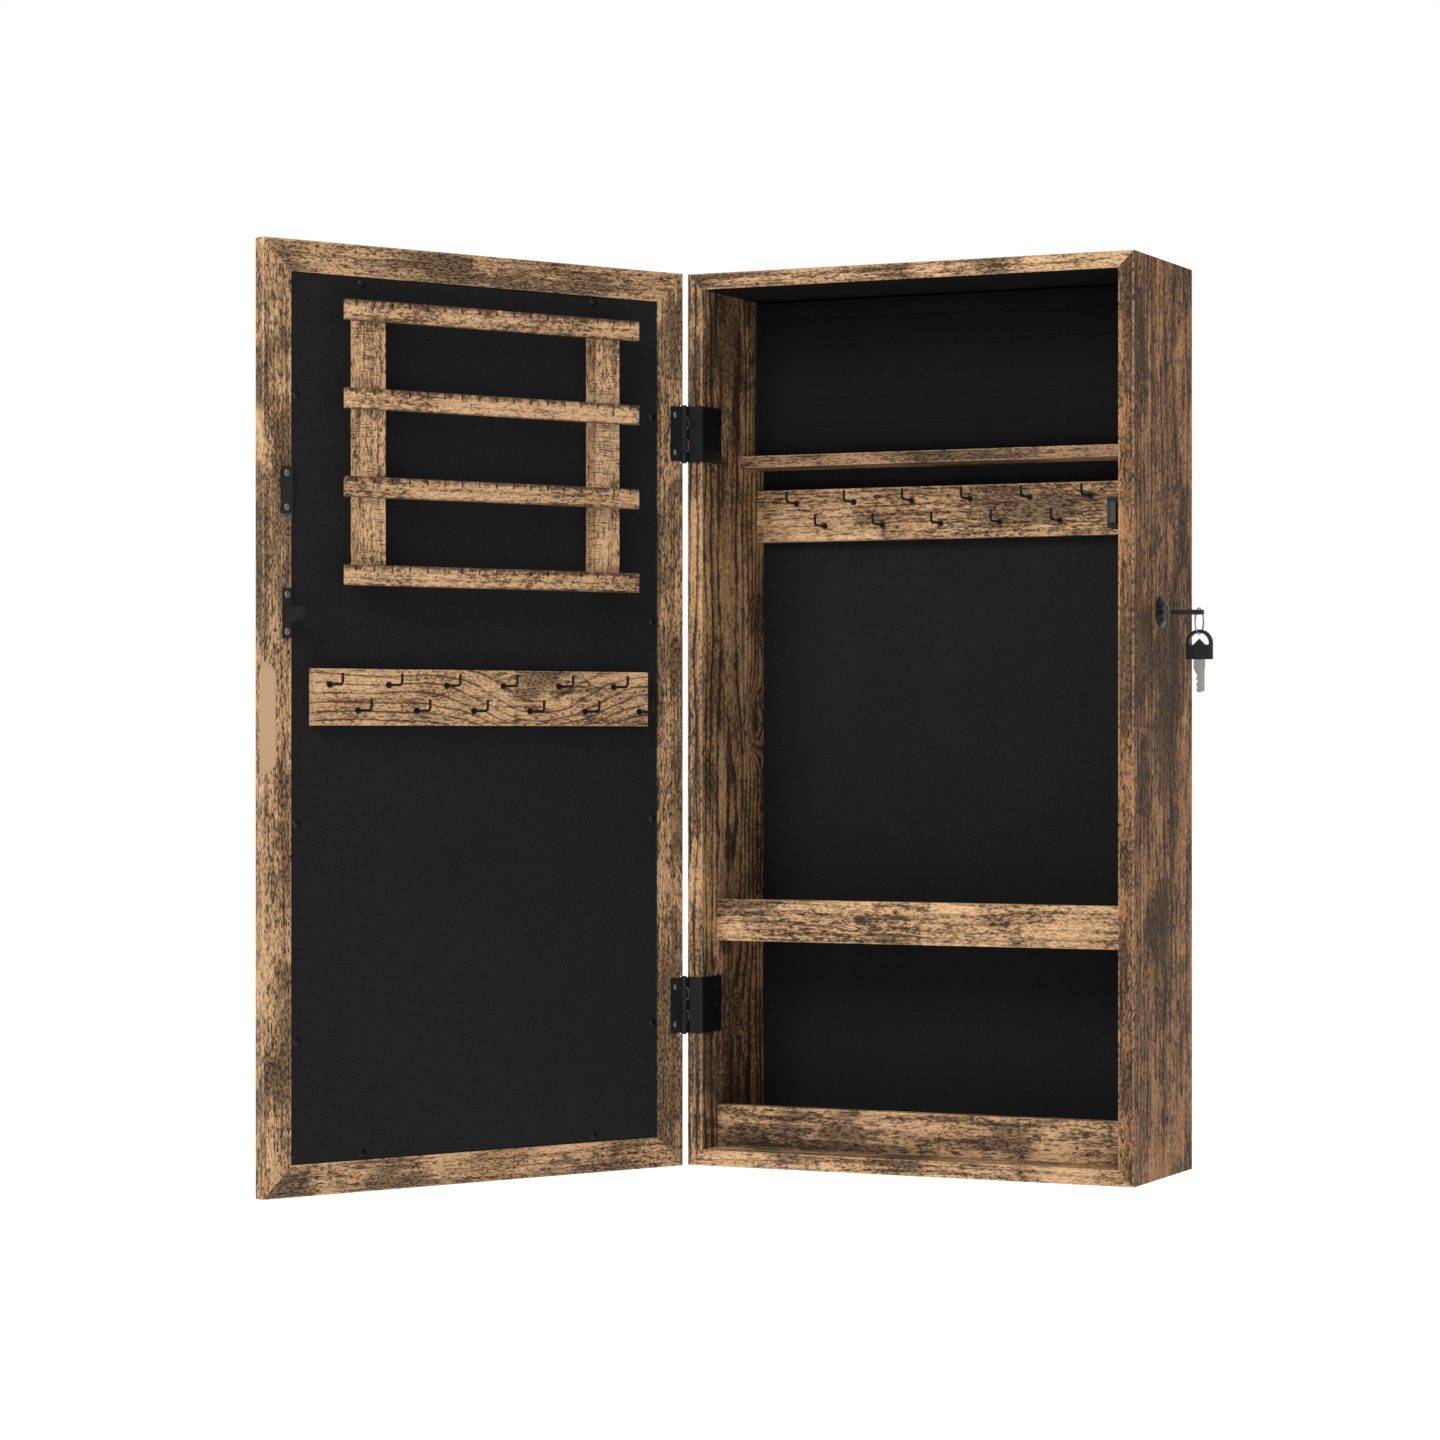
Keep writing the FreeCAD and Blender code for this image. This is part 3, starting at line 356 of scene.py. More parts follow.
def new_finish(name, **constants):
    """A material: its object coordinates, and its shader with the fixed numbers set."""
    material = bpy.data.materials.new(name)
    material.use_nodes = True
    tree = material.node_tree
    shader = tree.nodes["Principled BSDF"]
    for label, value in constants.items():
        shader.inputs[label.replace("_", " ")].default_value = value
    place = Flow(tree).node("TexCoord", {}, {}, "Object")
    return material, place, shader


def feed(shader, label, flow):
    """Runs a value into one of the shader's sockets."""
    flow.tree.links.new(flow.socket, shader.inputs[label])


def bumped(shader, height, strength, depth):
    """Bends the shader's normals by a height, depth metres at most."""
    feed(shader, "Normal", height.node("Bump", {}, {"Strength": strength, "Distance": depth,
                                                    "Height": height}))


print("shader maths ready")

# %% [markdown]
# ## Rustic wood
#
# The boards are covered with a print of old timber: tan early wood, darker lines of late
# wood, dense short strokes along the grain, knots, and dark smoky patches as if it had been
# singed. An image would do it, but every board would repeat it. Instead the wood is worked
# out from where a point lies in an imaginary log:
#
# - growth rings are the distance from the log's axis, and an axis that leans to the board
#   makes them run out at its face;
# - everything finer is noise pulled out along the grain, by 2 to 30 times;
# - a knot bends the rings around one point and may darken it;
# - an attribute on the corner points makes them pale, broken up by noise, partly as rubbed
#   wear and partly as a painted highlight along each rounded arris, and the `cut` attribute
#   lays bare the plain wood under the print.
#
# Door pieces first turn their coordinates back to the shut door, so their grain runs
# along the stile or rail like any other board's.

# %% Write the wood
TAN = (0.68, 0.425, 0.225, 1)
HONEY = (0.38, 0.21, 0.098, 1)
UMBER = (0.050, 0.027, 0.015, 1)
SMOKE = (0.024, 0.016, 0.011, 1)
# pale corner colour: partly rubbed wear, partly a painted highlight along each rounded arris
PALE_WEAR_AND_HIGHLIGHT = (0.56, 0.38, 0.22, 1)
# flat black, painted as shade on the top board's shadowed underside
PAINTED_SHADE_BLACK = (0.006, 0.006, 0.006, 1)
BARE = ((0.42, 0.275, 0.155, 1), (0.36, 0.23, 0.125, 1))
ONE_RING = 6.2832  # radians in a full wave of tone, from one ring to the next


def on_shut_door(place):
    """Coordinates turned back about the pin to the shut door, from the door's corner."""
    shift = turned((PIN * -1)[None], -OPEN)[0] + PIN - DOOR_CORNER
    return place.stretched((1, 1, 1), tuple(shift), (0, 0, -OPEN))


def rustic_wood(name, grain="z", on_door=False, light=TAN, middle=HONEY, deep=UMBER, smoke=0.5,
                log=(0.03, 0.05), lean=0.0, rings=150, seed=0.0, knots=(), rubbed_and_highlight=0.45,
                streak=0.6, thin=0.1, coarse=1.0, painted_shade_below=None):
    """Wood with its grain along x or z. Ring number = rings * sqrt(across^2 + down^2), where
    across and down are measured from the log's axis and down changes by lean along it.

    A knot is (along, across, down, reach, core): it adds 4.5 (1 - r / reach)^2 to the ring
    number, smoothed, and darkens its core. Smoke is how much of the face is singed, streak
    and thin how dark and how narrow the late wood is, and coarse under 1 widens the strokes
    across the board's width. Below the given height, only the front edge shows wood: behind
    it the colour is painted shade, flat black, where the top board's underside is in shadow."""
    material, place, shader = new_finish(name, Specular_IOR_Level=0.16)
    place = on_shut_door(place) if on_door else place.stretched((1, 1, 1), tuple(-CORNER))
    x, y, z = place.xyz()
    along, across, down = (z, x, y) if grain == "z" else (x, z, y)

    def pulled(lengthways, sideways, inward, detail, roughness=0.5, warp=0.0, shift=seed):
        """Noise with so many features to the metre along the grain, across it and inwards."""
        spot = {0: along * lengthways + shift, 1: across * sideways, 2: down * inward}
        return place.node("CombineXYZ", {}, spot).noise(1.0, detail, roughness, warp)

    drift = pulled(3.0, 9.0, 9.0, 2.0) - 0.5
    wave = pulled(14.0, 40.0, 40.0, 3.0) - 0.5
    side = across - log[0] + drift * 0.03 + wave * 0.004
    depth = down - log[1] + along * lean + drift * 0.02
    ring = (side * side + depth * depth).math("SQRT") * float(rings)
    heart = None
    for at_along, at_across, at_down, reach, core in knots:
        u, v, w = (along - at_along) * 0.55, across - at_across, down - at_down
        far = (u * u + v * v + w * w).math("SQRT")
        near = 1 - far.between(0.0, reach)
        ring = ring + near * near * 4.5
        spot = 1 - far.between(core * 0.5, core)
        heart = spot if heart is None else heart.math("MAXIMUM", spot)
    late = (ring * ONE_RING + wave * 5.0).math("SINE").between(thin, 1.0)

    # four sizes of figure: long streaks, bands, short strokes and longer dashes
    fine = pulled(14.0, 460.0, 460.0 * coarse, 4.0, 0.6)
    band = pulled(3.5, 85.0, 85.0, 3.0, 0.6)
    strokes = pulled(300.0, 760.0, 760.0 * coarse, 2.0, 0.6).between(0.48, 0.58)
    dashes = pulled(110.0, 430.0, 430.0 * coarse, 3.0, 0.65).between(0.5, 0.6)
    cloud = pulled(8.0, 15.0, 12.0, 5.0, 0.58, 0.4, -seed)
    dense = pulled(16.0, 30.0, 30.0, 3.0, 0.6).between(0.36, 0.64)

    tone = band.between(0.36, 0.64) * 0.3 + fine.between(0.4, 0.62) * 0.2 + dense * 0.5
    colour = tone.mix(light, middle)
    marks = strokes * (0.42 + dense * 0.4) + dashes * (0.2 + dense * 0.4)
    lines = (late * (fine * 0.8 + dense * 0.5) * streak + marks).math("MINIMUM", 1.0)
    colour = (lines * 0.93).mix(colour, deep)
    ragged = cloud + (fine - 0.5) * 0.24 + (band - 0.5) * 0.2 + (dashes - 0.5) * 0.08
    edge_of_smoke = 0.63 - 0.3 * smoke
    singed = ragged.between(edge_of_smoke, edge_of_smoke + 0.12) * (0.66 + strokes * 0.26)
    colour = singed.math("MINIMUM", 0.94).mix(colour, SMOKE)
    if heart is not None:
        colour = (heart * 0.7).mix(colour, SMOKE)
    grit = place.noise(260.0, 3.0, 0.6)
    # wear and painted highlight: the corner points are made pale, broken up by noise
    edge = place.node("Attribute", {"attribute_name": "wear_and_highlight"}, {}, "Fac") * grit.between(0.36, 0.6)
    colour = (edge * rubbed_and_highlight).mix(colour, PALE_WEAR_AND_HIGHLIGHT)
    cut = place.node("Attribute", {"attribute_name": "cut"}, {}, "Fac")
    colour = cut.mix(colour, fine.mix(*BARE))
    # painted shade: behind the front edge, the shadowed underside of the top board is coloured flat
    # black
    if painted_shade_below is not None:
        behind = (y - 1.0 * MM).between(0.0, 0.5 * MM)
        inside = behind * (1 - (z - painted_shade_below).between(0.2 * MM, 0.5 * MM))
        colour = inside.mix(colour, PAINTED_SHADE_BLACK)
    feed(shader, "Base Color", colour)
    feed(shader, "Roughness", 0.56 + fine * 0.16 + singed * 0.1)
    bumped(shader, lines * -0.6 + fine * 0.5, 0.35, 0.25 * MM)
    return material


# the left side board's darker middle and deep tones are partly its own wood and partly painted shade
# for the inner face, which the lamps barely reach
wood_left_painted_shade = rustic_wood("wood_left_side_painted_shade", "z", smoke=0.5, log=(-0.05, 0.045), rings=210, seed=3.1,
                        light=(0.66, 0.39, 0.19, 1), middle=(0.20, 0.105, 0.05, 1),
                        deep=(0.018, 0.012, 0.009, 1), coarse=0.7, streak=1.5,
                        knots=((0.333, 0.012, 0.093, 0.03, 0.007), (0.11, 0.012, 0.06, 0.016, 0.004)))
print("first wood:", wood_left_painted_shade.name, len(wood_left_painted_shade.node_tree.nodes), "nodes")

# %% [markdown]
# ## The case
#
# Four boards, mitred at the corners, make the case. Their long edges are slightly rounded,
# and paler than the faces: partly because hands and the door rub them, partly as a painted
# highlight along each rounded arris. Each board's stop is its distance from the outer face,
# which is exactly a 45 degree mitre. Seen from the front, the underside of the top board is
# painted black like the lining behind it: painted shade, where that underside lies in shadow.

# %% Cut and join the four boards
WIDE = extent("top_board")[1][0]
TALL = extent("side_board_left")[1][2]
DEEP = extent("side_board_left")[1][1]
THICK = extent("side_board_left")[1][0]
# the right side board has darker tones than the other boards: painted shade for its outer face, which
# turns away from the lamps
wood_right_painted_shade = rustic_wood("wood_right_side_painted_shade", "z", smoke=0.66, log=(0.30, 0.10), rings=160, seed=11.7,
                         light=(0.46, 0.235, 0.10, 1), middle=(0.15, 0.072, 0.03, 1),
                         deep=(0.014, 0.008, 0.005, 1), streak=0.7, coarse=0.65)
wood_bottom = rustic_wood("wood_bottom_board", "x", smoke=0.6, log=(0.3, 0.02), rings=150, seed=5.9)
# below this height the top board's underside gets painted shade, flat black
wood_top = rustic_wood("wood_top_board", "x", smoke=0.66, log=(0.3, 0.02), rings=150, seed=7.3,
                       painted_shade_below=TALL - THICK)
mitre = lambda loop: loop[:, 0]
section = [(0, 0), (THICK, 0), (THICK, DEEP), (0, DEEP)]
sides = {"side_board_left": (lambda g: g, "xyz", TALL, wood_left_painted_shade),
         "side_board_right": (lambda g: g * [-1, 1, 1] + [WIDE, 0, 0], "xyz", TALL, wood_right_painted_shade),
         "bottom_board": (lambda g: g, "zyx", WIDE, wood_bottom),
         "top_board": (lambda g: g * [1, 1, -1] + [0, 0, TALL], "zyx", WIDE, wood_top)}
for name, (flip, axes, length, wood) in sides.items():
    board(name + "_skin", name, section, mitre, lambda loop, far=length: far - loop[:, 0], axes,
          lambda g, flip=flip: from_case(flip(g)), wood, 0.7 * MM)
print("case", round(WIDE, 4), round(DEEP, 4), round(TALL, 4))

# %% [markdown]
# ## Rails, shelf and hook boards
#
# These are plain boards with square ends between the case's sides. The hook board shows
# the liveliest figure, thin ring lines bent round one knot, and so will the hook board of
# the door: both use rings narrowed by `thin` and a knot with a wide reach.

# %% Make the boards inside the case
wood_rail = rustic_wood("wood_rails", "x", smoke=0.62, log=(0.02, 0.0), rings=170, seed=8.2,
                        knots=((0.13, 0.186, 0.025, 0.016, 0.004),), streak=0.7)
wood_shelf = rustic_wood("wood_shelf", "x", smoke=0.7, log=(0.5, 0.0), rings=140, seed=21.0,
                         light=(0.46, 0.27, 0.14, 1), middle=(0.22, 0.12, 0.06, 1))
wood_hooks = rustic_wood("wood_hook_rail", "x", smoke=0.36, log=(0.40, 0.115), lean=0.03,
                         rings=170, seed=14.4, knots=((0.285, 0.503, 0.098, 0.045, 0.004),),
                         streak=0.75, thin=0.6)


def square_board(node, wood, on_door=False, grain="x"):
    """A board with square ends in the place of a solid one, its outline across the grain."""
    low, high = extent(node, on_door)
    first, second = ("z", "y") if grain == "x" else ("x", "y")
    a, b, c = ("xyz".index(axis) for axis in (first, second, grain))
    corners = [(low[a], low[b]), (high[a], low[b]), (high[a], high[b]), (low[a], high[b])]
    board(node + "_skin", node, corners, lambda loop: low[c] + 0 * loop[:, 0],
          lambda loop: high[c] + 0 * loop[:, 0], first + second + grain,
          from_door if on_door else from_case, wood, 0.5 * MM, "door" if on_door else "cabinet")


for node in ("tray_rail", "bottom_rail", "tray_board"):
    square_board(node, wood_rail)
square_board("upper_shelf", wood_shelf)
square_board("cabinet_hook_board", wood_hooks)
print("shelf:", np.round(extent("upper_shelf"), 3).tolist())

# %% [markdown]
# ## The door frame
#
# Each stile and rail has a stepped section: the full thickness outside, then a ledge for
# the inner panel, then the lip that holds the mirror. The section is one outline carried
# between two mitres, as on the case. The stile at the open side also has a finger scoop, a
# shallow cut with round ends along its outer corner. A point that stands proud of the
# cutter's round surface is pushed back onto it. The stile at the hinges keeps its solid
# shape, because the notches for the two hinges are already cut there.

# %% Shape the four members
LEDGE, LIP = 31.5 * MM, 37.5 * MM
MEMBER, BACK, STEP, LIP_THICK = 22.5 * MM, -11 * MM, -4 * MM, 3 * MM
PROFILE = [(0, BACK), (LIP, BACK), (LIP, BACK + LIP_THICK), (LEDGE, BACK + LIP_THICK),
           (LEDGE, STEP), (MEMBER, STEP), (MEMBER, 0), (0, 0)]
wood_stile = rustic_wood("wood_door_stiles", "z", True, streak=0.25, smoke=0.76, log=(0.1, 0.03),
                         rings=150, seed=31.3)
wood_door_rail = rustic_wood("wood_door_rails", "x", True, streak=0.3, smoke=0.78,
                             log=(0.3, 0.03), rings=150, seed=44.9)
crosspieces = {"door_rail_bottom": lambda g: g,
               "door_rail_top": lambda g: g * [1, 1, -1] + [0, 0, TALL]}
for name, flip in crosspieces.items():
    board(name + "_skin", name, PROFILE, mitre, lambda loop: WIDE - loop[:, 0], "zyx",
          lambda g, flip=flip: from_door(flip(g)), wood_door_rail, body="door")


SCOOP_MIDDLE, SCOOP_HALF, SCOOP_END, SCOOP_SINK = 334.8 * MM, 40 * MM, 10 * MM, 4.5 * MM
CUTTER = (SCOOP_END ** 2 + SCOOP_SINK ** 2) / (2 * SCOOP_SINK)
EXTRA = 16          # more points on each of the two faces beside the scooped corner
CLEAR = 0.7 * MM    # where those points stop short of the corner's arc


def scooped_stile():
    """The open-side stile, its outline and its rows packed closely along the scoop.

    With n = (-1, 2) / sqrt 5 in the (a, t) plane, a point's height is n . p, and the cutter
    leaves no more than limit(z) = R - sink - sqrt(R^2 - d^2), with R its radius and d how far
    z lies past its travel. Where n . p is more, p moves by (limit - n . p) n, and its cut mark
    goes to 1."""
    loop, wear_and_highlight_marks = outline(PROFILE, 0.6 * MM)
    extra = np.linspace(0, 1, EXTRA)[:, None]
    edge = np.array([0.0, -6 * MM]) + extra * np.array([0, 6 * MM - CLEAR])
    front = np.array([12 * MM, 0.0]) + extra * np.array([-12 * MM + CLEAR, 0])
    last = PER_CORNER * (len(PROFILE) - 1)
    corner, unmarked = slice(last + 1, last + PER_CORNER - 1), np.zeros(EXTRA)
    ordered = np.concatenate([loop[:last], front, loop[corner], edge[::-1]])
    marks = np.concatenate([wear_and_highlight_marks[:last], unmarked, wear_and_highlight_marks[corner], unmarked])
    reach = SCOOP_HALF + 2 * MM
    v = np.concatenate([[0.0], np.linspace(SCOOP_MIDDLE - reach, SCOOP_MIDDLE + reach, 85), [TALL]])
    low, high = ordered[:, 0], TALL - ordered[:, 0]
    z = np.clip(v[:, None], low, high)
    grid = np.stack(np.broadcast_arrays(ordered[:, 0], ordered[:, 1], z), -1).copy()
    n = np.array([-1, 2]) / math.sqrt(5)
    height = grid[..., :2] @ n
    past = np.clip(np.abs(z - SCOOP_MIDDLE) - (SCOOP_HALF - SCOOP_END), 0, CUTTER)
    limit = (CUTTER - SCOOP_SINK) - np.sqrt(CUTTER ** 2 - past ** 2)
    over = np.maximum(height - limit, 0)
    near_corner = (grid[..., 0] < 14 * MM) & (grid[..., 1] > -8 * MM)
    over = np.where(near_corner, over, 0)
    grid[..., :2] -= over[..., None] * n
    cut = np.clip(over / (0.05 * MM), 0, 1)
    shaped = grid * [-1, 1, 1] + [WIDE, 0, 0]
    wear_and_highlight = np.broadcast_to(marks, z.shape) * (1 - cut)
    return skin("door_stile_free_skin", from_door(shaped), wear_and_highlight, cut)


paint(wood_stile, "door_stile_hinge")
finish_piece(scooped_stile(), wood_stile, "door", "door_stile_free")
print("scoop cutter radius:", round(CUTTER, 5))

# %% [markdown]
# ## The earring rack and the hook board of the door
#
# The rack is two upright posts with four slotted bars across them. The bars keep their
# solid shape, because the slots and holes are already cut there, and get a lighter wood.
# Their top edges and slots are blackened, so the finish darkens towards each bar's top: the
# height within a bar is what is left of the height over the lowest bar after whole steps
# from one bar to the next. The posts show rough saw marks across the grain.


# %% Make the rack's wood
BAR_FOOT, BAR_STEP = 428.4 * MM, 62.0 * MM
SCORCHED = (0.045, 0.027, 0.018, 1)


def rack_wood(name, grain, seed):
    """Light wood with ragged dark upper edges, or with short saw marks across the grain."""
    material = rustic_wood(name, grain, True, light=(0.70, 0.435, 0.235, 1),
                           middle=(0.46, 0.265, 0.13, 1), smoke=0.08, log=(0.1, 0.05),
                           rings=150, seed=seed, streak=0.45, rubbed_and_highlight=0.2)
    tree = material.node_tree
    shader = tree.nodes["Principled BSDF"]
    colour = Flow(tree, shader.inputs["Base Color"].links[0].from_socket)
    x, y, z = on_shut_door(colour.node("TexCoord", {}, {}, "Object")).xyz()

    def grain_of(per_x, per_y, per_z, detail, roughness=0.6):
        """Noise with so many features to the metre along each of the door's axes."""
        spot = {0: x * per_x, 1: y * per_y, 2: z * per_z}
        return colour.node("CombineXYZ", {}, spot).noise(1.0, detail, roughness)

    if grain == "x":
        height_mm = ((z - BAR_FOOT) * (1 / BAR_STEP)).math("FRACT") * (BAR_STEP / MM)
        ragged = grain_of(190.0, 190.0, 260.0, 4.0, 0.65) - 0.5
        upper = (height_mm + ragged * 13.0).between(10.0, 14.5)
        lower = 1 - (height_mm + ragged * 6.0).between(0.2, 1.8)
        dark = (upper * 0.9 + lower * 0.7).math("MINIMUM", 0.93)
    else:
        saw = grain_of(70.0, 70.0, 1000.0, 3.0).between(0.5, 0.6)
        patch = grain_of(90.0, 90.0, 30.0, 3.0).between(0.4, 0.56)
        dark = saw * patch * 0.9
    feed(shader, "Base Color", dark.mix(colour, SCORCHED))
    return material


rack_bars = rack_wood("wood_rack_bars", "x", 51.0)
rack_posts = rack_wood("wood_rack_posts", "z", 57.5)
paint(rack_bars, "rack_bar_1", "rack_bar_2", "rack_bar_3", "rack_bar_4")
for node in ("rack_post_left", "rack_post_right"):
    square_board(node, rack_posts, True, "z")
wood_door_hooks = rustic_wood("wood_door_hook_board", "x", True, smoke=0.52, log=(0.25, 0.022),
                              lean=0.05, rings=170, seed=62.0, streak=1.15, thin=0.6,
                              knots=((0.13, 0.335, 0.0, 0.075, 0.002),))
square_board("door_hook_board", wood_door_hooks, True)
print("rack finished")

# %% [markdown]
# ## Behind the boards
#
# Nobody sees the rails behind the back until the cabinet is taken off its wall. They are
# plain timber, and the back itself is brown fibre board. The lining and the door's inner
# panel are black: one is felt, whose fibres scatter light, the other a smooth black paper,
# and a fine noise in colour and bump does for both. Velvet comes from the same recipe, with
# pale slubs of its weave added.

# %% Finish the back, the felt and the panel
plain = rustic_wood("wood_plain", "x", smoke=0.0, light=(0.50, 0.34, 0.19, 1),
                    middle=(0.43, 0.28, 0.15, 1), deep=(0.33, 0.20, 0.10, 1), rings=90, streak=0.4)
paint(plain, "hanging_rail", "lower_back_rail", "shelf_dowels")


def fibre_board():
    """Pressed brown fibres: two noises in the colour and a slight roughness to the touch."""
    material, place, shader = new_finish("fibre_board", Roughness=0.8, Specular_IOR_Level=0.25)
    fibres = place.noise(700.0, 3.0, 0.7)
    blotch = place.noise(9.0, 3.0, 0.6)
    tone = (fibres * 0.6 + blotch * 0.4).between(0.35, 0.65)
    feed(shader, "Base Color", tone.mix((0.10, 0.058, 0.032, 1), (0.19, 0.115, 0.062, 1)))
    bumped(shader, fibres, 0.3, 0.2 * MM)
    return material


def black_cloth(name, low, high, pile, sheen, woven=0.0):
    """Felt or velvet: near black, with fine pile in the colour and the bump. Woven adds
    pale slubs along and across, each a noise stretched along its thread."""
    material, place, shader = new_finish(name, Roughness=0.92, Specular_IOR_Level=0.15,
                                         Sheen_Weight=sheen, Sheen_Roughness=0.5)
    hair = place.noise(pile, 4.0, 0.75)
    drift = place.noise(14.0, 3.0, 0.6)
    tone = hair.between(0.35, 0.7) * 0.7 + drift * 0.3
    if woven:
        threads = [place.stretched(scale).noise(1.0, 2.0, 0.6).between(0.6, 0.74)
                   for scale in ((70, 70, 1300), (1300, 70, 70))]
        tone = tone + threads[0].math("MAXIMUM", threads[1]) * woven
    feed(shader, "Base Color", tone.mix((low, low, low * 1.05, 1), (high, high, high * 1.04, 1)))
    bumped(shader, hair, 0.5, 0.25 * MM)
    return material


paint(fibre_board(), "back_panel", "mirror_backing")
paint(black_cloth("black_felt", 0.004, 0.015, 1500.0, 0.04), "back_lining")
paint(black_cloth("black_panel_paper", 0.005, 0.0145, 900.0, 0.015), "door_panel")
print("dark surfaces done")

# %% [markdown]
# ## The stud pad
#
# Behind the top shelf lies a velvet pad over foam, with rows of short slits that hold rings
# and stud earrings. The foam swells between the slits and rolls over at its edges. It
# could be made by inflating a cloth, but a pad glued to a flat back hardly moves, so it
# is one height map: a roll-off at the border, a gentle swell between the rows, and a narrow
# groove at every slit.


# %% Shape the pad
ROW_PITCH, COLUMN_PITCH, FIRST_ROW, FIRST_COLUMN = 21 * MM, 22.8 * MM, 559 * MM, 16.8 * MM
SWELL, GROOVE, GROOVE_WIDE, HALF_SLIT = 0.6 * MM, 1.3 * MM, 0.8 * MM, 8.0 * MM
SLITS_FROM, SLITS_TO = 555 * MM, 648 * MM


def from_nearest(distance, pitch):
    """How far a distance is from the nearest whole number of pitches, with its sign."""
    return (distance + pitch / 2) % pitch - pitch / 2


def pad_surface():
    """Depth = (T + swell - groove) ((1 - |u|^40) (1 - |v|^16))^(1/4), u and v being -1 to 1.

    swell = s |sin(pi dz / pitch)|^0.7, with dz the height over the nearest row of slits;
    groove = g exp(-(dz / w)^2) inside a slit's length, fading out smoothly at both ends."""
    low, high = extent("stud_pad")
    columns, rows = 260, 190
    u, v = np.meshgrid(np.linspace(-1, 1, columns), np.linspace(-1, 1, rows))
    x = (low[0] + high[0]) / 2 + u * (high[0] - low[0]) / 2
    z = (low[2] + high[2]) / 2 + v * (high[2] - low[2]) / 2
    dz = from_nearest(z - FIRST_ROW, ROW_PITCH)
    dx = from_nearest(x - low[0] - FIRST_COLUMN, COLUMN_PITCH)
    swell = SWELL * np.abs(np.sin(math.pi * dz / ROW_PITCH)) ** 0.7
    slit = 1 / (1 + np.exp((np.abs(dx) - HALF_SLIT) / (0.7 * MM)))
    groove = GROOVE * np.exp(-(dz / GROOVE_WIDE) ** 2) * slit
    groove = np.where((z > SLITS_FROM) & (z < SLITS_TO), groove, 0)
    roll = ((1 - np.abs(u) ** 40) * (1 - np.abs(v) ** 16)) ** 0.25
    thick = high[1] - low[1] - 1.0 * MM
    y = high[1] - (thick + swell - groove) * roll
    front = np.stack([x, y, z], -1).reshape(-1, 3)
    i, j = np.meshgrid(np.arange(rows - 1), np.arange(columns - 1), indexing="ij")
    a = i * columns + j
    quads = np.stack([a, a + 1, a + columns + 1, a + columns], -1).reshape(-1, 4)
    border = np.concatenate([np.arange(columns), columns * np.arange(1, rows) + columns - 1,
                             columns * (rows - 1) + np.arange(columns - 2, -1, -1),
                             columns * np.arange(rows - 2, 0, -1)])
    mesh = bpy.data.meshes.new("velvet_stud_pad")
    mesh.from_pydata(from_case(front).tolist(), [], quads.tolist() + [border[::-1].tolist()])
    mesh.shade_smooth()
    mesh.set_sharp_from_angle(angle=math.radians(60))
    piece = bpy.data.objects.new("velvet_stud_pad", mesh)
    bpy.context.scene.collection.objects.link(piece)
    return piece


pad = pad_surface()
velvet = black_cloth("black_velvet", 0.0015, 0.0065, 1100.0, 0.05, 0.6)
finish_piece(pad, velvet, "cabinet", "stud_pad")
print("pad:", len(pad.data.polygons), "faces")

# %% [markdown]
# ## Metal, plastic and glass
#
# The hinges, hooks, lock and plates are steel under black enamel. Enamel is never quite
# flat, so a faint ripple breaks up its highlights. The rack's screws are bronzed. Plated
# steel shows fine rubbing, the keys' heads are moulded plastic with a light grain, and the
# mirror is a polished metal under glass, with the faintest smears.


# %% Make the hard finishes
def enamel(name, colour, rough, metallic=0.0, ripple=0.25):
    """A painted or plated surface: fixed metalness, uneven gloss and a faint ripple."""
    material, place, shader = new_finish(name, Metallic=metallic, Specular_IOR_Level=0.22)
    patch = place.noise(90.0, 3.0, 0.6)
    speck = place.noise(1400.0, 2.0, 0.6)
    dim = tuple(c * 0.7 for c in colour[:3]) + (1,)
    feed(shader, "Base Color", (patch * 0.7 + speck * 0.3).between(0.3, 0.7).mix(dim, colour))
    feed(shader, "Roughness", rough - 0.06 + patch * 0.12)
    bumped(shader, speck * 0.4 + patch, ripple, 0.08 * MM)
    return material


def rubbed_steel(name, colour, rough):
    """Bare or plated steel with hair-fine rubbing marks one way."""
    material, place, shader = new_finish(name, Metallic=1.0)
    hair = place.stretched((300, 300, 4000)).noise(1.0, 3.0, 0.6)
    patch = place.noise(60.0, 3.0, 0.6)
    dim = tuple(c * 0.82 for c in colour[:3]) + (1,)
    feed(shader, "Base Color", (hair * 0.6 + patch * 0.4).between(0.35, 0.65).mix(dim, colour))
    feed(shader, "Roughness", rough + (hair - 0.5) * 0.2)
    bumped(shader, hair, 0.15, 0.05 * MM)
    return material


black_metal = enamel("black_enamel", (0.008, 0.008, 0.009, 1), 0.32)
hook_black = enamel("hook_enamel", (0.004, 0.004, 0.004, 1), 0.42)
black_screw = enamel("black_screw_finish", (0.22, 0.22, 0.225, 1), 0.28, 1.0)
panel_screw = enamel("panel_screw_finish", (0.03, 0.03, 0.032, 1), 0.34, 1.0)
bronze = enamel("bronzed_screw", (0.52, 0.39, 0.25, 1), 0.32, 1.0)
plastic = enamel("black_key_plastic", (0.010, 0.010, 0.011, 1), 0.34, ripple=0.15)
lock_black = enamel("black_lock_finish", (0.006, 0.006, 0.006, 1), 0.2, ripple=0.06)
plated = rubbed_steel("plated_steel", (0.56, 0.57, 0.58, 1), 0.32)
key_steel = rubbed_steel("key_steel", (0.40, 0.395, 0.38, 1), 0.3)
magnet = enamel("magnet_block", (0.05, 0.05, 0.052, 1), 0.5, 0.6)
paint(black_metal, "hinge_body_leaves", "hinge_door_leaves", "hinge_pins", "strike_plate",
      "lock_keeper")
paint(hook_black, "cabinet_hooks", "door_hooks")
paint(black_screw, "hinge_body_screws", "hinge_door_screws", "strike_screws", "keeper_screws",
      "catch_screws", "cam_screw")
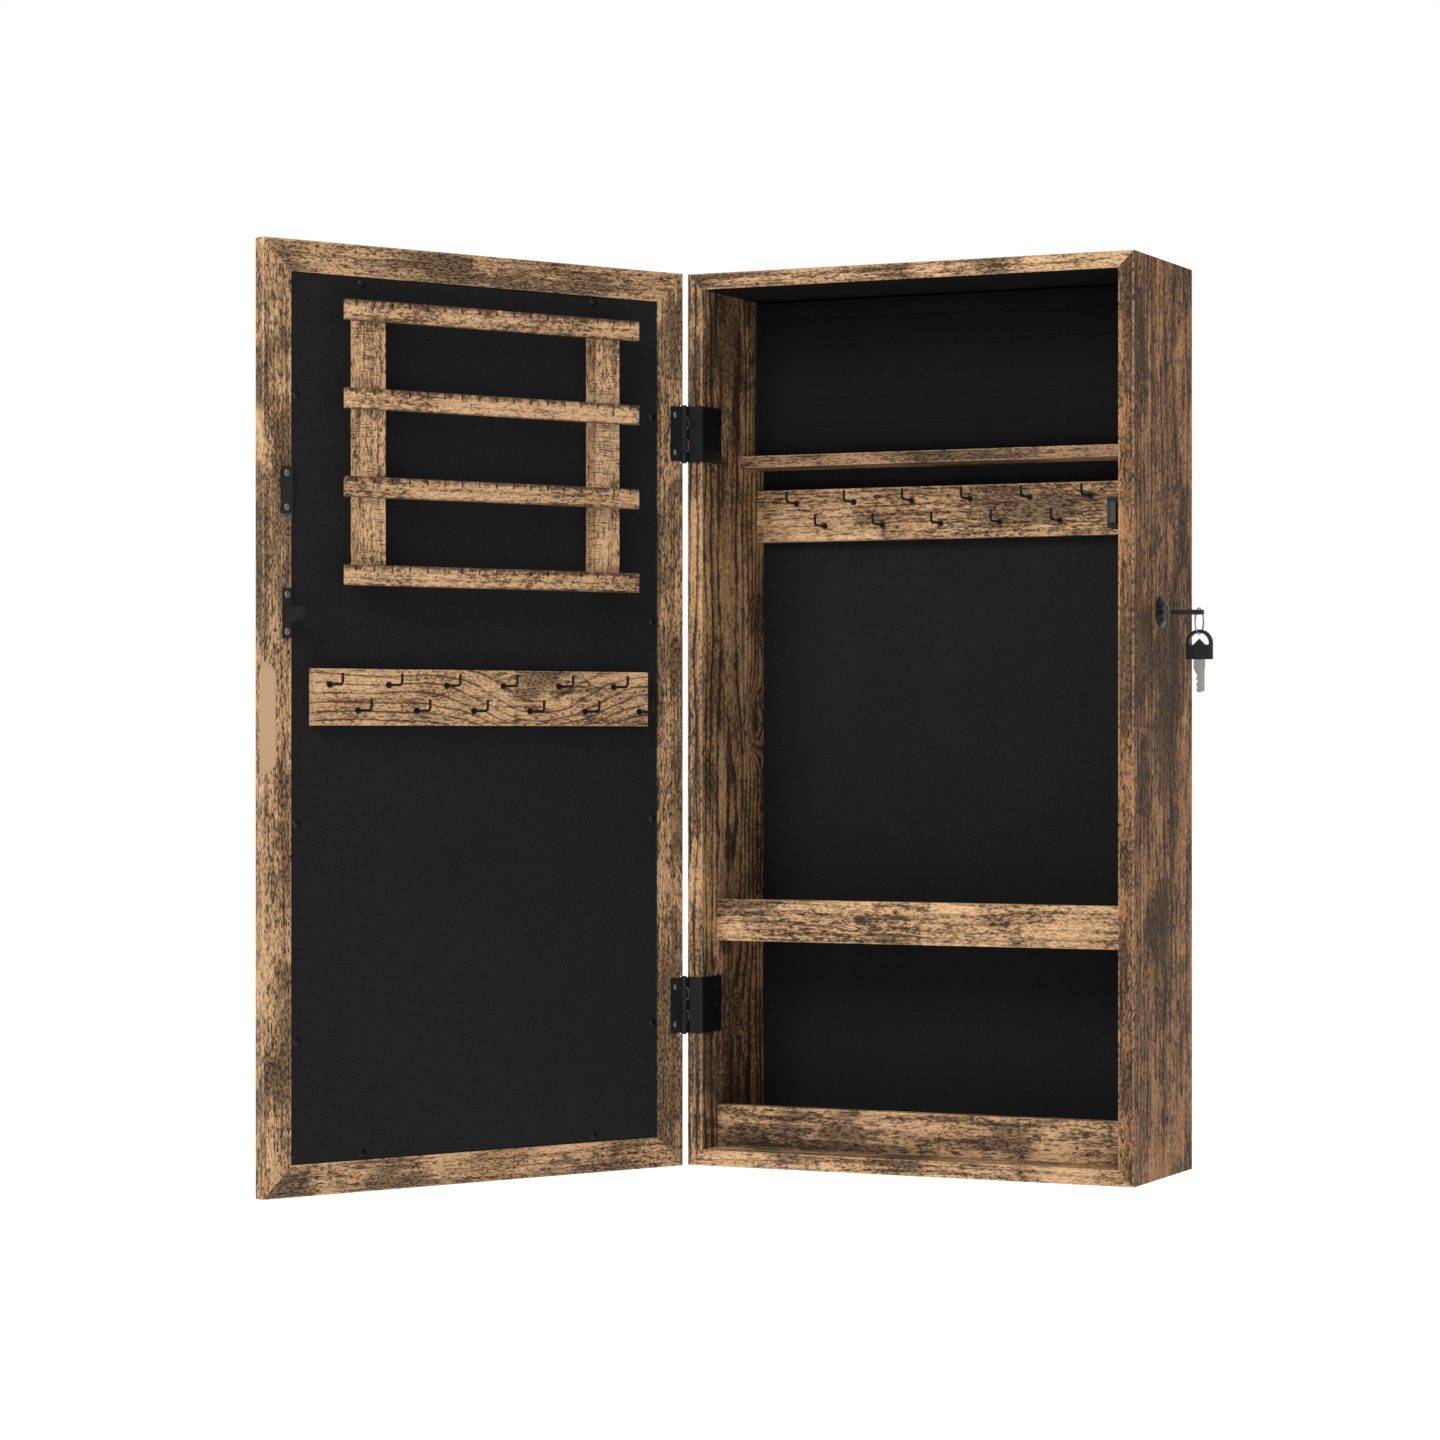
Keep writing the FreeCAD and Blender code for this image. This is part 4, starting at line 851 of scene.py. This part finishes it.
paint(panel_screw, "door_panel_screws")
paint(bronze, "rack_screws")
paint(plastic, "catch_housing", "key_head", "spare_key_head")
paint(lock_black, "lock_barrel", "lock_plug")
paint(plated, "hanger_plates", "hanger_screws", "lock_nut", "lock_cam")
paint(key_steel, "key_blade", "spare_key_blade", "key_ring")
paint(magnet, "catch_magnet", "catch_pole_plates")


def mirror_finish():
    """Silvered glass: full metalness and a gloss that only faint smears disturb."""
    material, place, shader = new_finish("mirror_silver", Metallic=1.0, Coat_Weight=1.0)
    smear = place.stretched((6, 6, 2)).noise(1.0, 4.0, 0.6).between(0.5, 0.8)
    feed(shader, "Base Color", smear.mix((0.70, 0.735, 0.74, 1), (0.64, 0.68, 0.685, 1)))
    feed(shader, "Roughness", 0.012 + smear * 0.03)
    return material


paint(mirror_finish(), "mirror_glass")
print("finishes:", len(bpy.data.materials))

# %% [markdown]
# ## The floor, and the last step
#
# The floor lies a little below the hanging cabinet and is almost as white as the sky, so
# only a soft shade tells it from the background.


# %% Lay the floor
FLOOR_LEVEL, FLOOR_RADIUS, FLOOR_POINTS = -0.98, 24, 96


def pale_floor():
    """A flat disc whose rim is one ring of points: (R cos, R sin, level)."""
    ring = np.linspace(0, 2 * math.pi, FLOOR_POINTS + 1)[:-1]
    points = np.stack([FLOOR_RADIUS * np.cos(ring), FLOOR_RADIUS * np.sin(ring),
                       0 * ring + FLOOR_LEVEL], -1)
    mesh = bpy.data.meshes.new("floor")
    mesh.from_pydata(points.tolist(), [], [list(range(FLOOR_POINTS))])
    material, place, shader = new_finish("pale_floor", Roughness=0.9, Specular_IOR_Level=0.1)
    soft = place.noise(0.6, 2.0, 0.5)
    feed(shader, "Base Color", soft.mix((0.90, 0.90, 0.90, 1), (0.93, 0.93, 0.93, 1)))
    shader.inputs["Emission Color"].default_value = (1, 1, 1, 1)
    shader.inputs["Emission Strength"].default_value = 0.6
    mesh.materials.append(material)
    floor = bpy.data.objects.new("floor", mesh)
    bpy.context.scene.collection.objects.link(floor)


pale_floor()
